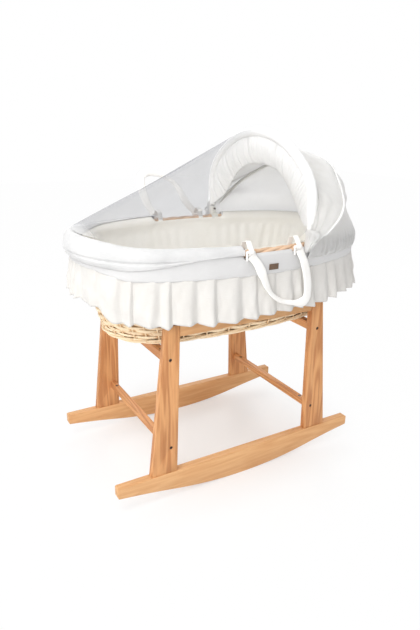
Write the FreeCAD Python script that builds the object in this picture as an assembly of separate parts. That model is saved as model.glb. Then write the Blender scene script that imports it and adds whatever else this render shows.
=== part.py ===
"""Rocking moses basket: a dressed wicker basket with hood and net, lying on a wooden rocking stand.

Millimetres. X runs from the foot end to the head end, Y from the near side to the far side, and
Z up from the floor, with the origin under the middle of the stand where the soles touch the floor.
"""
import FreeCAD, Part
import math
import os

V = FreeCAD.Vector
UP = V(0, 0, 1)
ALONG = V(1, 0, 0)
ACROSS = V(0, 1, 0)
NEAR_AND_FAR = (-1, 1)
FOOT_AND_HEAD = (-1, 1)

# Clearances
cut_overrun = 4.0
fit_gap = 0.05
cloth_gap = 0.3

# Rockers: flat on top, soles that bend down in the middle and flatten out towards the ends
rocker_length = 750.0
rocker_thickness = 22.0
rocker_top = 73.0
rocker_end_round = 4.0
sole_radius = 1186.0
sole_reach = 219.0
sole_tail_radius = 2378.0

# Legs: boards that flare towards the rockers
leg_thickness = 18.0
leg_over_rail = 4.0
leg_foot_inner = 211.0
leg_foot_outer = 283.0
leg_head_inner = 202.0
leg_head_outer = 239.0
leg_dowel_radius = 4.0
leg_dowel_length = 40.0
leg_dowel_inset = 16.0

# Rails and stretchers of the stand
rail_x = 228.0
cross_rail_thickness = 20.0
cross_rail_height = 22.0
cross_rail_top = 400.0
stretcher_thickness = 16.0
stretcher_height = 18.0
stretcher_z = 146.0
side_rail_thickness = 15.0
side_rail_height = 26.0
side_rail_rise = 45.0
side_rail_gap = 7.6868
side_dowel_radius = 3.0
side_dowel_length = 32.0
side_dowel_inset = 7.0

# Furniture bolts and their barrel nuts
bolt_radius = 3.0
bolt_length = 58.0
bolt_head_radius = 4.6
bolt_head_height = 5.0
bolt_socket_radius = 2.4
bolt_socket_depth = 3.0
bolt_recess_depth = 6.5
bolt_tip_room = 3.0
nut_radius = 5.0
nut_inset = 34.0

# Wicker basket: an oval tub under a round border
basket_x = 28.0
base_half_length = 340.0
base_half_width = 165.0
base_end_radius = 148.0
base_chamfer = 9.0
base_thickness = 8.0
wall_thickness = 8.0
border_half_length = 400.0
border_half_width = 240.0
border_end_radius = 203.0
border_radius = 11.0
basket_height = 235.0

# Lining and mattress
lining_thickness = 3.0
lining_base = 1.5
lining_gap = 0.5
mattress_height = 36.0
mattress_inset = 5.0
mattress_draw = 7.0
mattress_crown = 9.0
mattress_crown_inset = 55.0

# Rim padding, skirt band and pleated frill
pad_outer_radius = 18.0
pad_lower_angle = -45.0
pad_strap_gap = 28.0
pad_clip_gap = 25.0
band_thickness = 6.0
band_drop = 13.0
band_height = 39.0
frill_length = 96.0
frill_cloth = 1.6
frill_pleats = 48
frill_hem_flare = 15.0
frill_hem_depth = 15.0
frill_seam_depth = 2.0
pleat_fold_share = 0.82
label_length = 32.0
label_height = 18.0
label_thickness = 0.8
label_rise = 20.0

# Carrying handles: anchor loops on the border and straps that swing on them
handle_half_span = 70.0
anchor_width = 15.0
anchor_thickness = 3.2
anchor_eye_out = 23.0
anchor_eye_up = 9.0
handle_pin_radius = 4.0
handle_eye_wall = 3.0
strap_width = 26.0
strap_thickness = 6.0
strap_fork_length = 15.0
strap_side_gap = 1.0
strap_drop = 140.0
strap_skew = 24.0
strap_bend_radius = 38.0
strap_hang_angle = 9.0
strap_lean_angle = 25.0

# Hood: two hoops that turn on clips on the border
hood_offset = 119.0
hood_rise = 29.0
hoop_radius = 4.0
hoop_eye_radius = 7.5
hoop_eye_thickness = 4.0
hoop_pin_radius = 3.0
hoop_shoulder_radius = 118.0
hoop_leg = 76.0
front_hoop_reach = 239.0
rear_hoop_reach = 250.0
rear_hoop_tilt = 47.0
clip_length = 20.0
clip_thickness = 12.0
clip_side_gap = 0.5
clip_grip = 4.0
clip_post_radius = 6.5
hood_cloth = 2.0
hood_cloth_start = 20.0
hood_sag = 14.0
tail_bulge_tilt = 76.0
tail_bulge = 34.0
tail_spread = 22.0
tail_stand_off = 6.0
tail_lift = 8.0
tail_drop = 29.0
tail_side_shares = (0.37, 0.64)
tail_crown_share = 0.09
brim_thickness = 2.4
brim_depth = 85.0
brim_side = 34.0
brim_start = 48.0
brim_shoulder_radius = 96.0
brim_leg = 56.0

# Net over the foot half, with its padded hem on the rim
net_thickness = 0.8
net_start = 12.0
net_clip_gap = 19.0
net_lift = 4.0
hem_thickness = 5.0
hem_rise = 15.0
hem_height = 46.0
hem_strap_gap = 16.0
hem_slope_length = 172.0
hem_side_height = 10.0


class Oval:
    """A plan oval about the basket's centre: two end arcs and two side arcs, tangent to each other."""

    def __init__(self, half_length, half_width, end_radius):
        self.half_length = half_length
        self.half_width = half_width
        self.end_radius = end_radius
        self.end_offset = half_length - end_radius
        rise = self.end_offset ** 2 + half_width ** 2 - end_radius ** 2
        self.side_radius = rise / (2 * (half_width - end_radius))
        self.side_offset = self.side_radius - half_width
        self.turn = math.atan2(self.side_offset, self.end_offset)

    def grown(self, by):
        """The oval a constant distance outside this one."""
        return Oval(self.half_length + by, self.half_width + by, self.end_radius + by)

    def arcs(self):
        """Centre, radius, start angle and sweep of the four arcs, from the near side's foot end round."""
        centre = V(basket_x, 0, 0)
        side = ACROSS * self.side_offset
        end = ALONG * self.end_offset
        half = math.pi / 2 - self.turn
        quarter = math.pi / 2
        return [
            (centre + side, self.side_radius, -quarter - half, 2 * half),
            (centre + end, self.end_radius, -self.turn, 2 * self.turn),
            (centre - side, self.side_radius, quarter - half, 2 * half),
            (centre - end, self.end_radius, math.pi - self.turn, 2 * self.turn),
        ]

    def side_y(self, x):
        """Half width of the oval at a place x along its side arcs."""
        return math.sqrt(self.side_radius ** 2 - (x - basket_x) ** 2) - self.side_offset

    def round_end(self, x, end):
        """Arcs from the near side at x round one end to the far side at x."""
        near, head, far, foot = self.arcs()
        reach = math.asin((x - basket_x) / self.side_radius)
        half = math.pi / 2 - self.turn
        sweep = end * half - reach
        quarter = math.pi / 2
        cap = head if end > 0 else foot
        return [
            (near[0], near[1], -quarter + reach, sweep),
            (cap[0], cap[1], -quarter + end * half, end * 2 * self.turn),
            (far[0], far[1], quarter - end * half, sweep),
        ]

    def wire(self, z):
        """The closed wire of the oval at height z."""
        return Part.Wire([arc_edge(points) for points in arc_points(self.arcs(), z)])

    def station(self, share, z):
        """Point and outward direction at a share of the way round, at height z."""
        arcs = self.arcs()
        lengths = [radius * sweep for _, radius, _, sweep in arcs]
        left = share * sum(lengths)
        for (centre, radius, start, sweep), length in zip(arcs, lengths):
            if left <= length:
                break
            left -= length
        angle = start + left / radius
        out = V(math.cos(angle), math.sin(angle), 0)
        return centre + out * radius + UP * z, out


def oval_between(low, low_z, high, high_z, z):
    """The oval at height z on the straight wall between two ovals."""
    share = (z - low_z) / (high_z - low_z)
    return Oval(
        low.half_length + (high.half_length - low.half_length) * share,
        low.half_width + (high.half_width - low.half_width) * share,
        low.end_radius + (high.end_radius - low.end_radius) * share,
    )


def arc_points(arcs, z):
    """Start, middle and end point of each arc, at height z."""
    rows = []
    for centre, radius, start, sweep in arcs:
        angles = (start, start + sweep / 2, start + sweep)
        rows.append([centre + V(math.cos(a), math.sin(a), 0) * radius + UP * z for a in angles])
    return rows


def arc_edge(points):
    """An edge through three points: an arc, or a line where they lie in a row."""
    start, middle, end = points
    if (middle - start).cross(end - start).Length < fit_gap:
        return Part.LineSegment(start, end).toShape()
    return Part.Arc(start, middle, end).toShape()


def split_in_three(arc):
    """One arc as three equal ones."""
    centre, radius, start, sweep = arc
    return [(centre, radius, start + sweep * i / 3, sweep / 3) for i in range(3)]


def split_row(points, shares):
    """A three-point edge cut at shares of its length."""
    edge = arc_edge(points)
    first, last = edge.ParameterRange

    def at(share):
        return edge.valueAt(first + (last - first) * share)

    stops = (0,) + shares + (1,)
    return [[at(a), at((a + b) / 2), at(b)] for a, b in zip(stops, stops[1:])]


def sweep_profile(arcs, profile, z):
    """Turn a profile face, drawn outward and upward from the path, along each arc and join the lengths."""
    lengths = []
    for centre, radius, start, sweep in arcs:
        face = profile.copy()
        face.rotate(V(0, 0, 0), ALONG, 90)
        face.translate(V(radius, 0, z))
        face.rotate(V(0, 0, 0), UP, math.degrees(start))
        face.translate(centre)
        axis = UP if sweep > 0 else -UP
        lengths.append(face.revolve(centre, axis, math.degrees(abs(sweep))))
    joined = lengths[0].multiFuse(lengths[1:])
    return joined.removeSplitter()


def closed_solid(faces):
    """Sew faces into one solid that encloses a positive volume."""
    solid = Part.Solid(Part.Shell(faces))
    if solid.Volume < 0:
        solid.reverse()
    return solid


def ruled_solid(rings):
    """A solid through closed rings of matching edges, with flat ends."""
    faces = [Part.Face(Part.Wire(rings[0])), Part.Face(Part.Wire(rings[-1]))]
    for lower, upper in zip(rings, rings[1:]):
        faces += [Part.makeRuledSurface(a, b) for a, b in zip(lower, upper)]
    return closed_solid(faces)


def strip_ring(outer, inner):
    """Edges round a thin strip between two paths, each a list of three-point arcs."""
    edges = [arc_edge(points) for points in outer]
    edges.append(Part.LineSegment(outer[-1][2], inner[-1][2]).toShape())
    edges += [arc_edge(points[::-1]) for points in inner[::-1]]
    edges.append(Part.LineSegment(inner[0][0], outer[0][0]).toShape())
    return edges


def oval_tub(sections):
    """A solid through ovals at rising heights."""
    return Part.makeLoft([oval.wire(z) for oval, z in sections], True, True)


def oval_ring(outer, inner, bottom, top):
    """An upright wall between two ovals."""
    face = Part.Face(outer.wire(bottom)).cut(Part.Face(inner.wire(bottom)))
    return face.extrude(UP * (top - bottom)).Solids[0]


def block(low, high):
    """A box between two opposite corners."""
    size = high - low
    return Part.makeBox(size.x, size.y, size.z, low)


def rod(start, end, radius):
    """A round bar between two points."""
    return Part.makeCylinder(radius, (end - start).Length, start, end - start)


def plate(points, thickness, middle_y):
    """A board cut to an outline in the XZ plane, centred on a place in Y."""
    wire = Part.makePolygon(points + points[:1])
    wire.translate(ACROSS * (middle_y - thickness / 2))
    return Part.Face(wire).extrude(ACROSS * thickness)


# Values that several pieces share
base_z = cross_rail_top
border_z = base_z + basket_height
base_oval = Oval(base_half_length, base_half_width, base_end_radius)
border_oval = Oval(border_half_length, border_half_width, border_end_radius)
tub_low_z = base_z + base_chamfer
wall_top = border_z - border_radius - cloth_gap
tub_top_oval = border_oval.grown(wall_thickness / 2)
side_rail_bottom = cross_rail_top + side_rail_rise
side_rail_top = side_rail_bottom + side_rail_height
leg_top = side_rail_top + leg_over_rail
tub_beside_rail = oval_between(base_oval, tub_low_z, tub_top_oval, wall_top, side_rail_top)
rocker_y = tub_beside_rail.half_width + side_rail_gap + side_rail_thickness / 2
leg_inner_y = rocker_y - leg_thickness / 2
leg_outer_y = rocker_y + leg_thickness / 2
cross_rail_z = cross_rail_top - cross_rail_height / 2
bolt_rows = ((cross_rail_z, cross_rail_height), (stretcher_z, stretcher_height))
band_outer = border_oval.grown(pad_outer_radius)
band_top = border_z - band_drop
band_bottom = band_top - band_height
frill_hem = band_bottom - frill_length
anchor_xs = (basket_x - handle_half_span, basket_x + handle_half_span)
anchor_y = border_oval.side_y(anchor_xs[0])
handle_axis_y = anchor_y + anchor_eye_out
handle_axis_z = border_z + anchor_eye_up
hood_x = basket_x + hood_offset
hood_y = border_oval.side_y(hood_x)
hood_z = border_z + hood_rise
hoop_offset = clip_thickness / 2 + clip_side_gap + hoop_eye_thickness / 2
front_hoop_y = hood_y + hoop_offset
rear_hoop_y = hood_y - hoop_offset
hoop_clear = hoop_radius + cloth_gap
pad_notch_foot = anchor_xs[0] - pad_strap_gap
pad_notch_head = hood_x + pad_clip_gap
hem_side_x = anchor_xs[0] - hem_strap_gap
hem_top = border_z + hem_rise
hem_bottom = hem_top - hem_height


def leg_edge_x(foot_x, head_x, z):
    """Place along X of a leg's straight edge at height z."""
    share = (z - rocker_top) / (leg_top - rocker_top)
    return foot_x + (head_x - foot_x) * share


# Stand


def rocker(side):
    """Board with a flat top, a round sole and tails that flatten out."""
    half = rocker_length / 2
    lean = math.asin(sole_reach / sole_radius)
    reach = V(sole_reach, 0, sole_radius * (1 - math.cos(lean)))
    tail_centre = reach + V(math.sin(lean), 0, -math.cos(lean)) * sole_tail_radius

    def tail(x):
        return V(x, 0, tail_centre.z + math.sqrt(sole_tail_radius ** 2 - (x - tail_centre.x) ** 2))

    def mirrored(point):
        return V(-point.x, 0, point.z)

    heel = tail(half)
    bend = tail((sole_reach + half) / 2)
    toe = V(half, 0, rocker_top)
    edges = [
        Part.Arc(mirrored(reach), V(0, 0, 0), reach).toShape(),
        Part.Arc(reach, bend, heel).toShape(),
        Part.LineSegment(heel, toe).toShape(),
        Part.LineSegment(toe, mirrored(toe)).toShape(),
        Part.LineSegment(mirrored(toe), mirrored(heel)).toShape(),
        Part.Arc(mirrored(heel), mirrored(bend), mirrored(reach)).toShape(),
    ]
    board = Part.Face(Part.Wire(edges)).extrude(ACROSS * rocker_thickness)
    ends = [e for e in board.Edges if len(e.Vertexes) == 2 and abs(e.CenterOfMass.x) > half - fit_gap
            and abs((e.Vertexes[1].Point - e.Vertexes[0].Point).y) > rocker_thickness / 2]
    board = board.makeFillet(rocker_end_round, ends)
    board.translate(ACROSS * (side * rocker_y - rocker_thickness / 2))
    room = leg_dowel_radius + fit_gap
    holes = [leg_dowel(side, end, x, room) for end in FOOT_AND_HEAD for x in leg_dowel_xs()]
    return board.cut(holes)


def leg_dowel_xs():
    """Places of a leg's two dowels."""
    return (leg_foot_inner + leg_dowel_inset, leg_foot_outer - leg_dowel_inset)


def leg_dowel(side, end, x, radius):
    """Upright dowel, half in the rocker and half in the leg."""
    middle = V(end * x, side * rocker_y, rocker_top)
    half = UP * (leg_dowel_length / 2)
    return rod(middle - half, middle + half, radius)


def side_dowel(side, end, z, radius):
    """Level dowel, half in the leg and half in the side rail."""
    middle = V(end * leg_edge_x(leg_foot_inner, leg_head_inner, z), side * rocker_y, z)
    half = ALONG * (side_dowel_length / 2)
    return rod(middle - half, middle + half, radius)


def side_dowel_zs():
    """Heights of the two dowels at each end of a side rail."""
    return (side_rail_bottom + side_dowel_inset, side_rail_top - side_dowel_inset)


def bolt_seat(side):
    """Place in Y of the bottom of the bolt recesses in a leg's outer face."""
    return side * (leg_outer_y - bolt_recess_depth)


def bolt(side, end, z):
    """Bolt with a socket head, from the leg's recess through its barrel nut."""
    seat = V(end * rail_x, bolt_seat(side), z)
    out = ACROSS * side
    shank = rod(seat, seat - out * bolt_length, bolt_radius)
    head = rod(seat, seat + out * bolt_head_height, bolt_head_radius)
    top = seat + out * bolt_head_height
    socket = rod(top - out * bolt_socket_depth, top + out * cut_overrun, bolt_socket_radius)
    return shank.fuse(head).removeSplitter().cut(socket)


def bolt_hole(side, end, z):
    """Clearance hole for a bolt, with its recess."""
    seat = V(end * rail_x, bolt_seat(side), z)
    out = ACROSS * side
    hole = rod(seat, seat - out * (bolt_length + bolt_tip_room), bolt_radius + fit_gap)
    recess = rod(seat, seat + out * (bolt_recess_depth + cut_overrun), bolt_head_radius + fit_gap)
    return hole.fuse(recess)


def barrel_nut(side, end, z, height, radius):
    """Upright barrel nut across the end of a rail."""
    middle = V(end * rail_x, side * (leg_inner_y - nut_inset), z)
    half = UP * (height / 2)
    return rod(middle - half, middle + half, radius)


def leg(side, end):
    """Tapered leg board with its bolt and dowel holes."""
    outline = [
        V(end * leg_foot_inner, 0, rocker_top),
        V(end * leg_foot_outer, 0, rocker_top),
        V(end * leg_head_outer, 0, leg_top),
        V(end * leg_head_inner, 0, leg_top),
    ]
    board = plate(outline, leg_thickness, side * rocker_y)
    holes = [bolt_hole(side, end, z) for z, _ in bolt_rows]
    holes += [leg_dowel(side, end, x, leg_dowel_radius + fit_gap) for x in leg_dowel_xs()]
    holes += [side_dowel(side, end, z, side_dowel_radius + fit_gap) for z in side_dowel_zs()]
    return board.cut(holes)


def cross_bar(end, thickness, height, z):
    """Bar from leg to leg across the stand, with holes for its bolts and barrel nuts."""
    low = V(end * rail_x - thickness / 2, -leg_inner_y, z - height / 2)
    high = V(end * rail_x + thickness / 2, leg_inner_y, z + height / 2)
    bar = block(low, high)
    holes = [bolt_hole(side, end, z) for side in NEAR_AND_FAR]
    holes += [barrel_nut(side, end, z, height + cut_overrun, nut_radius + fit_gap) for side in NEAR_AND_FAR]
    return bar.cut(holes)


def side_rail(side):
    """Rail between the two legs of a side, which keeps the basket from sliding sideways."""
    low_x = leg_edge_x(leg_foot_inner, leg_head_inner, side_rail_bottom)
    high_x = leg_edge_x(leg_foot_inner, leg_head_inner, side_rail_top)
    outline = [
        V(-low_x, 0, side_rail_bottom),
        V(low_x, 0, side_rail_bottom),
        V(high_x, 0, side_rail_top),
        V(-high_x, 0, side_rail_top),
    ]
    rail = plate(outline, side_rail_thickness, side * rocker_y)
    room = side_dowel_radius + fit_gap
    holes = [side_dowel(side, end, z, room) for end in FOOT_AND_HEAD for z in side_dowel_zs()]
    return rail.cut(holes)


def nut_with_hole(side, end, z, height):
    """Barrel nut with the bolt's hole through it."""
    nut = barrel_nut(side, end, z, height, nut_radius)
    return nut.cut(bolt_hole(side, end, z))


def each_corner():
    """The four corners of the stand, as side and end."""
    return [(side, end) for side in NEAR_AND_FAR for end in FOOT_AND_HEAD]


# Basket


def wall_sections(inset):
    """Ovals of the tub's wall, a constant distance inside its outer face."""
    return [
        (base_oval.grown(-base_chamfer - inset), base_z),
        (base_oval.grown(-inset), tub_low_z),
        (tub_top_oval.grown(-inset), wall_top),
    ]


def above(sections, floor_z, ceiling_z):
    """A wall's sections with a new floor and ceiling, on the same slopes."""
    (_, _), (low, low_z), (high, high_z) = sections
    return [(oval_between(low, low_z, high, high_z, z), z) for z in (floor_z, ceiling_z)]


def tie_room():
    """Room under the border for the four anchor loops to pass through the wall and lining."""
    radius = border_radius + anchor_thickness + 2 * cloth_gap
    half = ALONG * (anchor_width / 2 + strap_side_gap)
    centres = [V(x, side * anchor_y, border_z) for x in anchor_xs for side in NEAR_AND_FAR]
    return [rod(centre - half, centre + half, radius) for centre in centres]


def wicker_tub():
    """Woven tub: wall and base, open at the top."""
    outer = oval_tub(wall_sections(0))
    room = above(wall_sections(wall_thickness), base_z + base_thickness, wall_top + cut_overrun)
    return outer.cut([oval_tub(room)] + tie_room())


def border_round(radius):
    """A round bar along the border's oval."""
    face = Part.Face(Part.Wire(Part.makeCircle(radius)))
    return sweep_profile(border_oval.arcs(), face, border_z)


def wicker_border():
    """Round woven border on top of the wall."""
    return border_round(border_radius)


def border_room():
    """The border with a little room round it, for what wraps it."""
    return border_round(border_radius + cloth_gap)


def lining_floor():
    """Height of the lining's upper face at the bottom of the tub."""
    return base_z + base_thickness + lining_gap + lining_base


def lining():
    """Cloth lining inside the tub."""
    outer = wall_sections(wall_thickness + lining_gap)
    inner = wall_sections(wall_thickness + lining_gap + lining_thickness)
    body = oval_tub(above(outer, base_z + base_thickness + lining_gap, wall_top))
    room = oval_tub(above(inner, lining_floor(), wall_top + cut_overrun))
    return body.cut([room] + tie_room())


def mattress():
    """Cushion with drawn-in lower and upper edges and a crowned top."""
    floor_z = lining_floor() + cloth_gap
    inset = wall_thickness + lining_gap + lining_thickness + mattress_inset
    (widest, _), _ = above(wall_sections(inset), floor_z, wall_top)
    side_z = floor_z + mattress_draw
    edge_z = floor_z + mattress_height - mattress_crown
    sections = [
        (widest.grown(-mattress_draw), floor_z),
        (widest, side_z),
        (widest, edge_z - mattress_draw),
        (widest.grown(-mattress_draw), edge_z),
        (widest.grown(-mattress_crown_inset), floor_z + mattress_height),
    ]
    return oval_tub(sections)


def rim_pad(start_x, end):
    """Padded cover round the border at one end of the basket, open below for the wall."""
    low = math.radians(pad_lower_angle)
    angles = (low, math.pi / 2, math.pi - low)

    def bow(radius):
        return [V(math.cos(a), math.sin(a), 0) * radius for a in angles]

    outer = bow(pad_outer_radius)
    inner = bow(border_radius + cloth_gap)
    edges = [
        arc_edge(outer),
        Part.LineSegment(outer[2], inner[2]).toShape(),
        arc_edge(inner[::-1]),
        Part.LineSegment(inner[0], outer[0]).toShape(),
    ]
    return sweep_profile(border_oval.round_end(start_x, end), Part.Face(Part.Wire(edges)), border_z)


def skirt_band():
    """Plain band of the skirt that hangs from the rim."""
    return oval_ring(band_outer, band_outer.grown(-band_thickness), band_bottom, band_top)


def pleat_points(depth, out, z):
    """Points round the band's middle line, two to a pleat: a long fold outward and a short one back."""
    oval = band_outer.grown(-band_thickness / 2)
    points = []
    for pleat in range(frill_pleats):
        for share, push in ((0, 0), (pleat_fold_share, depth)):
            place, outward = oval.station((pleat + share) / frill_pleats, z)
            points.append(place + outward * (out + push))
    return points


def closed_lines(points):
    """Straight edges from point to point and back to the first."""
    return [Part.LineSegment(a, b).toShape() for a, b in zip(points, points[1:] + points[:1])]


def frill():
    """Knife-pleated frill under the band: a thin wall whose folds deepen towards the hem."""
    half = frill_cloth / 2
    faces = []
    rims = {}
    for layer in (-half, half):
        seam = closed_lines(pleat_points(frill_seam_depth, layer - frill_seam_depth / 2, band_bottom))
        hem_out = layer + frill_hem_flare - frill_hem_depth / 2
        hem = closed_lines(pleat_points(frill_hem_depth, hem_out, frill_hem))
        faces += [Part.makeRuledSurface(a, b) for a, b in zip(seam, hem)]
        rims[layer] = (Part.Wire(seam), Part.Wire(hem))
    for outer, inner in zip(rims[half], rims[-half]):
        faces += Part.Face(outer).cut(Part.Face(inner)).Faces
    return closed_solid(faces)


def label():
    """Small bare label on the near side of the band."""
    outer_y = band_outer.half_width
    low_z = band_bottom + label_rise - label_height / 2
    low = V(basket_x - label_length / 2, -outer_y - cloth_gap / 2 - label_thickness, low_z)
    size = V(label_length, label_thickness, label_height)
    return block(low, low + size)


# Handles


def at_border(shape, side, x):
    """Place a shape drawn outward and upward in XY, and thick in Z, on the border at x."""
    placed = shape.copy()
    placed.rotate(V(0, 0, 0), V(1, 1, 1), 120)
    if side < 0:
        placed.rotate(V(0, 0, 0), UP, 180)
    placed.translate(V(x, side * anchor_y, border_z))
    return placed


def handle_anchor(side, x):
    """Webbing loop round the border, with an eye outside it that carries the strap."""
    inner = border_radius + cloth_gap
    outer = inner + anchor_thickness
    eye = V(anchor_eye_out, anchor_eye_up, 0)
    lift = V(0, 0, -anchor_width / 2)
    eye_radius = handle_pin_radius + handle_eye_wall
    ring = Part.makeCylinder(outer, anchor_width, lift)
    lug = Part.makeCylinder(eye_radius, anchor_width, eye + lift)
    across = V(-eye.y, eye.x, 0).normalize() * (anchor_thickness / 2)
    corners = [lift - across, eye + lift - across, eye + lift + across, lift + across]
    web = Part.Face(Part.makePolygon(corners + corners[:1])).extrude(UP * anchor_width)
    body = ring.fuse([lug, web]).removeSplitter()
    overrun = UP * cut_overrun
    hole = rod(eye + lift - overrun, eye - lift + overrun, handle_pin_radius + fit_gap)
    return at_border(body.cut(hole), side, x).cut(border_room())


def strap_path_edges(offset):
    """One edge of the hanging strap: down from each fork, round two bends and across, in X and Z."""
    half = handle_half_span
    bend = strap_bend_radius
    low = -strap_drop
    start = -strap_fork_length
    shift = strap_skew
    reach = bend + offset
    floor = low - offset
    left = V(-half + shift, 0, low + bend)
    right = V(half + shift, 0, low + bend)
    return {
        "left_top": V(-half - offset, 0, start),
        "left_low": left - ALONG * offset,
        "left_bend": left + ALONG * bend + V(-1, 0, -1).normalize() * reach,
        "left_floor": V(left.x + bend, 0, floor),
        "right_floor": V(right.x - bend, 0, floor),
        "right_bend": right - ALONG * bend + V(1, 0, -1).normalize() * reach,
        "right_low": right + ALONG * offset,
        "right_top": V(half + offset, 0, start),
    }


def strap_outline():
    """Closed outline of the strap's U, between its outer and inner edges."""
    outer = strap_path_edges(strap_width / 2)
    inner = strap_path_edges(-strap_width / 2)
    edges = []
    for side in (outer, inner):
        edges += [
            Part.LineSegment(side["left_top"], side["left_low"]).toShape(),
            Part.Arc(side["left_low"], side["left_bend"], side["left_floor"]).toShape(),
            Part.LineSegment(side["left_floor"], side["right_floor"]).toShape(),
            Part.Arc(side["right_floor"], side["right_bend"], side["right_low"]).toShape(),
            Part.LineSegment(side["right_low"], side["right_top"]).toShape(),
        ]
    edges.append(Part.LineSegment(outer["left_top"], inner["left_top"]).toShape())
    edges.append(Part.LineSegment(outer["right_top"], inner["right_top"]).toShape())
    return Part.Wire(Part.__sortEdges__(edges))


def strap():
    """Carrying strap hanging straight down from its axis, with a forked end at each anchor."""
    face = Part.Face(strap_outline())
    face.translate(ACROSS * (-strap_thickness / 2))
    body = face.extrude(ACROSS * strap_thickness)
    room = anchor_width / 2 + strap_side_gap
    half_width = strap_width / 2
    pieces = []
    for end in FOOT_AND_HEAD:
        x = end * handle_half_span
        for cheek in NEAR_AND_FAR:
            xs = sorted((x + cheek * room, x + cheek * half_width))
            low = V(xs[0], -strap_thickness / 2, -strap_fork_length)
            high = V(xs[1], strap_thickness / 2, 0)
            pieces.append(block(low, high))
            pieces.append(rod(V(xs[0], 0, 0), V(xs[1], 0, 0), handle_pin_radius))
        pieces.append(rod(V(x - room, 0, 0), V(x + room, 0, 0), handle_pin_radius))
    return body.fuse(pieces).removeSplitter()


def handle(side, angle):
    """A strap on its axis, turned outward and up from straight down by an angle."""
    shape = strap()
    if side > 0:
        shape.rotate(V(0, 0, 0), UP, 180)
    shape.rotate(V(0, 0, 0), ALONG, side * angle)
    shape.translate(V(basket_x, side * handle_axis_y, handle_axis_z))
    return shape


# Hood


class Arch:
    """A hoop's shape in a plane through the hood's axis: straight legs, two shoulders and a crown."""

    def __init__(self, half_width, reach, shoulder_radius, leg_height, start):
        rise = reach - leg_height
        top = (half_width - shoulder_radius) ** 2 + rise ** 2 - shoulder_radius ** 2
        self.crown_radius = top / (2 * (rise - shoulder_radius))
        self.half_width = half_width
        self.reach = reach
        self.shoulder_radius = shoulder_radius
        self.leg_height = leg_height
        self.start = start

    def grown(self, by):
        """The arch a constant distance outside this one, with the same start."""
        radius = self.shoulder_radius + by
        return Arch(self.half_width + by, self.reach + by, radius, self.leg_height, self.start)

    def paths(self, tilt, shift):
        """Three-point edges from near leg to far leg, tilted back and moved along its plane's normal."""
        shoulder_y = self.half_width - self.shoulder_radius
        crown_z = self.reach - self.crown_radius
        lean = math.atan2(self.leg_height - crown_z, shoulder_y)
        half_lean = lean / 2

        def on_shoulder(angle):
            return (shoulder_y + self.shoulder_radius * math.cos(angle),
                    self.leg_height + self.shoulder_radius * math.sin(angle))

        foot = (self.half_width, self.start)
        bend = (self.half_width, self.leg_height)
        knee = (self.half_width, (self.start + self.leg_height) / 2)
        top = (0, self.reach)
        near_crown = (self.crown_radius * math.cos((lean + math.pi / 2) / 2),
                      crown_z + self.crown_radius * math.sin((lean + math.pi / 2) / 2))
        far = [
            [top, near_crown, on_shoulder(lean)],
            [on_shoulder(lean), on_shoulder(half_lean), bend],
            [bend, knee, foot],
        ]
        near = [[(-y, s) for y, s in row[::-1]] for row in far[::-1]]
        crown = [near[2][0], top, far[0][2]]
        rows = near[:2] + [crown] + far[1:]
        return [[hood_point(y, s, tilt, shift) for y, s in row] for row in rows]


def hood_point(y, s, tilt, shift):
    """A point of the plane through the hood's axis that is tilted back from upright."""
    turn = math.radians(tilt)
    up = V(math.sin(turn), 0, math.cos(turn))
    back = V(math.cos(turn), 0, -math.sin(turn))
    return V(hood_x, y, hood_z) + up * s + back * shift


front_arch = Arch(front_hoop_y, front_hoop_reach, hoop_shoulder_radius, hoop_leg, hood_cloth_start)
rear_arch = Arch(rear_hoop_y, rear_hoop_reach, hoop_shoulder_radius, hoop_leg, hood_cloth_start)


def hoop(arch, tilt):
    """Bent hoop with a flat eye at each end, turning on the hood's pins."""
    bar = Arch(arch.half_width, arch.reach, arch.shoulder_radius, arch.leg_height, 0)
    path = Part.Wire([arc_edge(points) for points in bar.paths(tilt, 0)])
    start = bar.paths(tilt, 0)[0]
    along = (start[1] - start[0]).normalize()
    section = Part.Face(Part.Wire(Part.makeCircle(hoop_radius, start[0], along)))
    body = path.makePipe(section)
    eyes = []
    holes = []
    for side in NEAR_AND_FAR:
        middle = V(hood_x, side * arch.half_width, hood_z)
        half = ACROSS * (hoop_eye_thickness / 2)
        wide = ACROSS * (hoop_radius + cut_overrun)
        eyes.append(rod(middle - half, middle + half, hoop_eye_radius))
        ring = rod(middle - wide, middle + wide, hoop_eye_radius + fit_gap)
        holes.append(ring.cut(rod(middle - half, middle + half, hoop_eye_radius + cut_overrun)))
        holes.append(rod(middle - wide, middle + wide, hoop_pin_radius + fit_gap))
    return body.fuse(eyes).removeSplitter().cut(holes)


def hood_clip(side):
    """Clip astride the border, with a rounded post that holds a hood pin."""
    outer = border_radius + cloth_gap + clip_grip
    middle = V(hood_x, side * hood_y, border_z)
    axis = middle + UP * hood_rise
    half = ALONG * (clip_length / 2)
    thick = ACROSS * (clip_thickness / 2)
    saddle = rod(middle - half, middle + half, outer)
    post = block(middle - thick - ALONG * clip_post_radius, axis + thick + ALONG * clip_post_radius)
    crown = rod(axis - thick, axis + thick, clip_post_radius)
    below = block(middle - V(clip_length, 2 * outer, 2 * outer), middle + V(clip_length, 2 * outer, 0))
    overrun = ACROSS * cut_overrun
    hole = rod(axis - thick - overrun, axis + thick + overrun, hoop_pin_radius + fit_gap)
    return saddle.fuse([post, crown]).removeSplitter().cut([below, border_room(), hole])


def hood_pin(side):
    """Pivot pin through a clip and the eyes of both hoops."""
    middle = V(hood_x, side * hood_y, hood_z)
    half = ACROSS * (hoop_offset + hoop_eye_thickness / 2)
    return rod(middle - half, middle + half, hoop_pin_radius)


def cloth_ring(arch, tilt, shift):
    """Edges round a strip of hood cloth in one tilted plane."""
    return strip_ring(arch.paths(tilt, shift), arch.grown(-hood_cloth).paths(tilt, shift))


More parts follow.
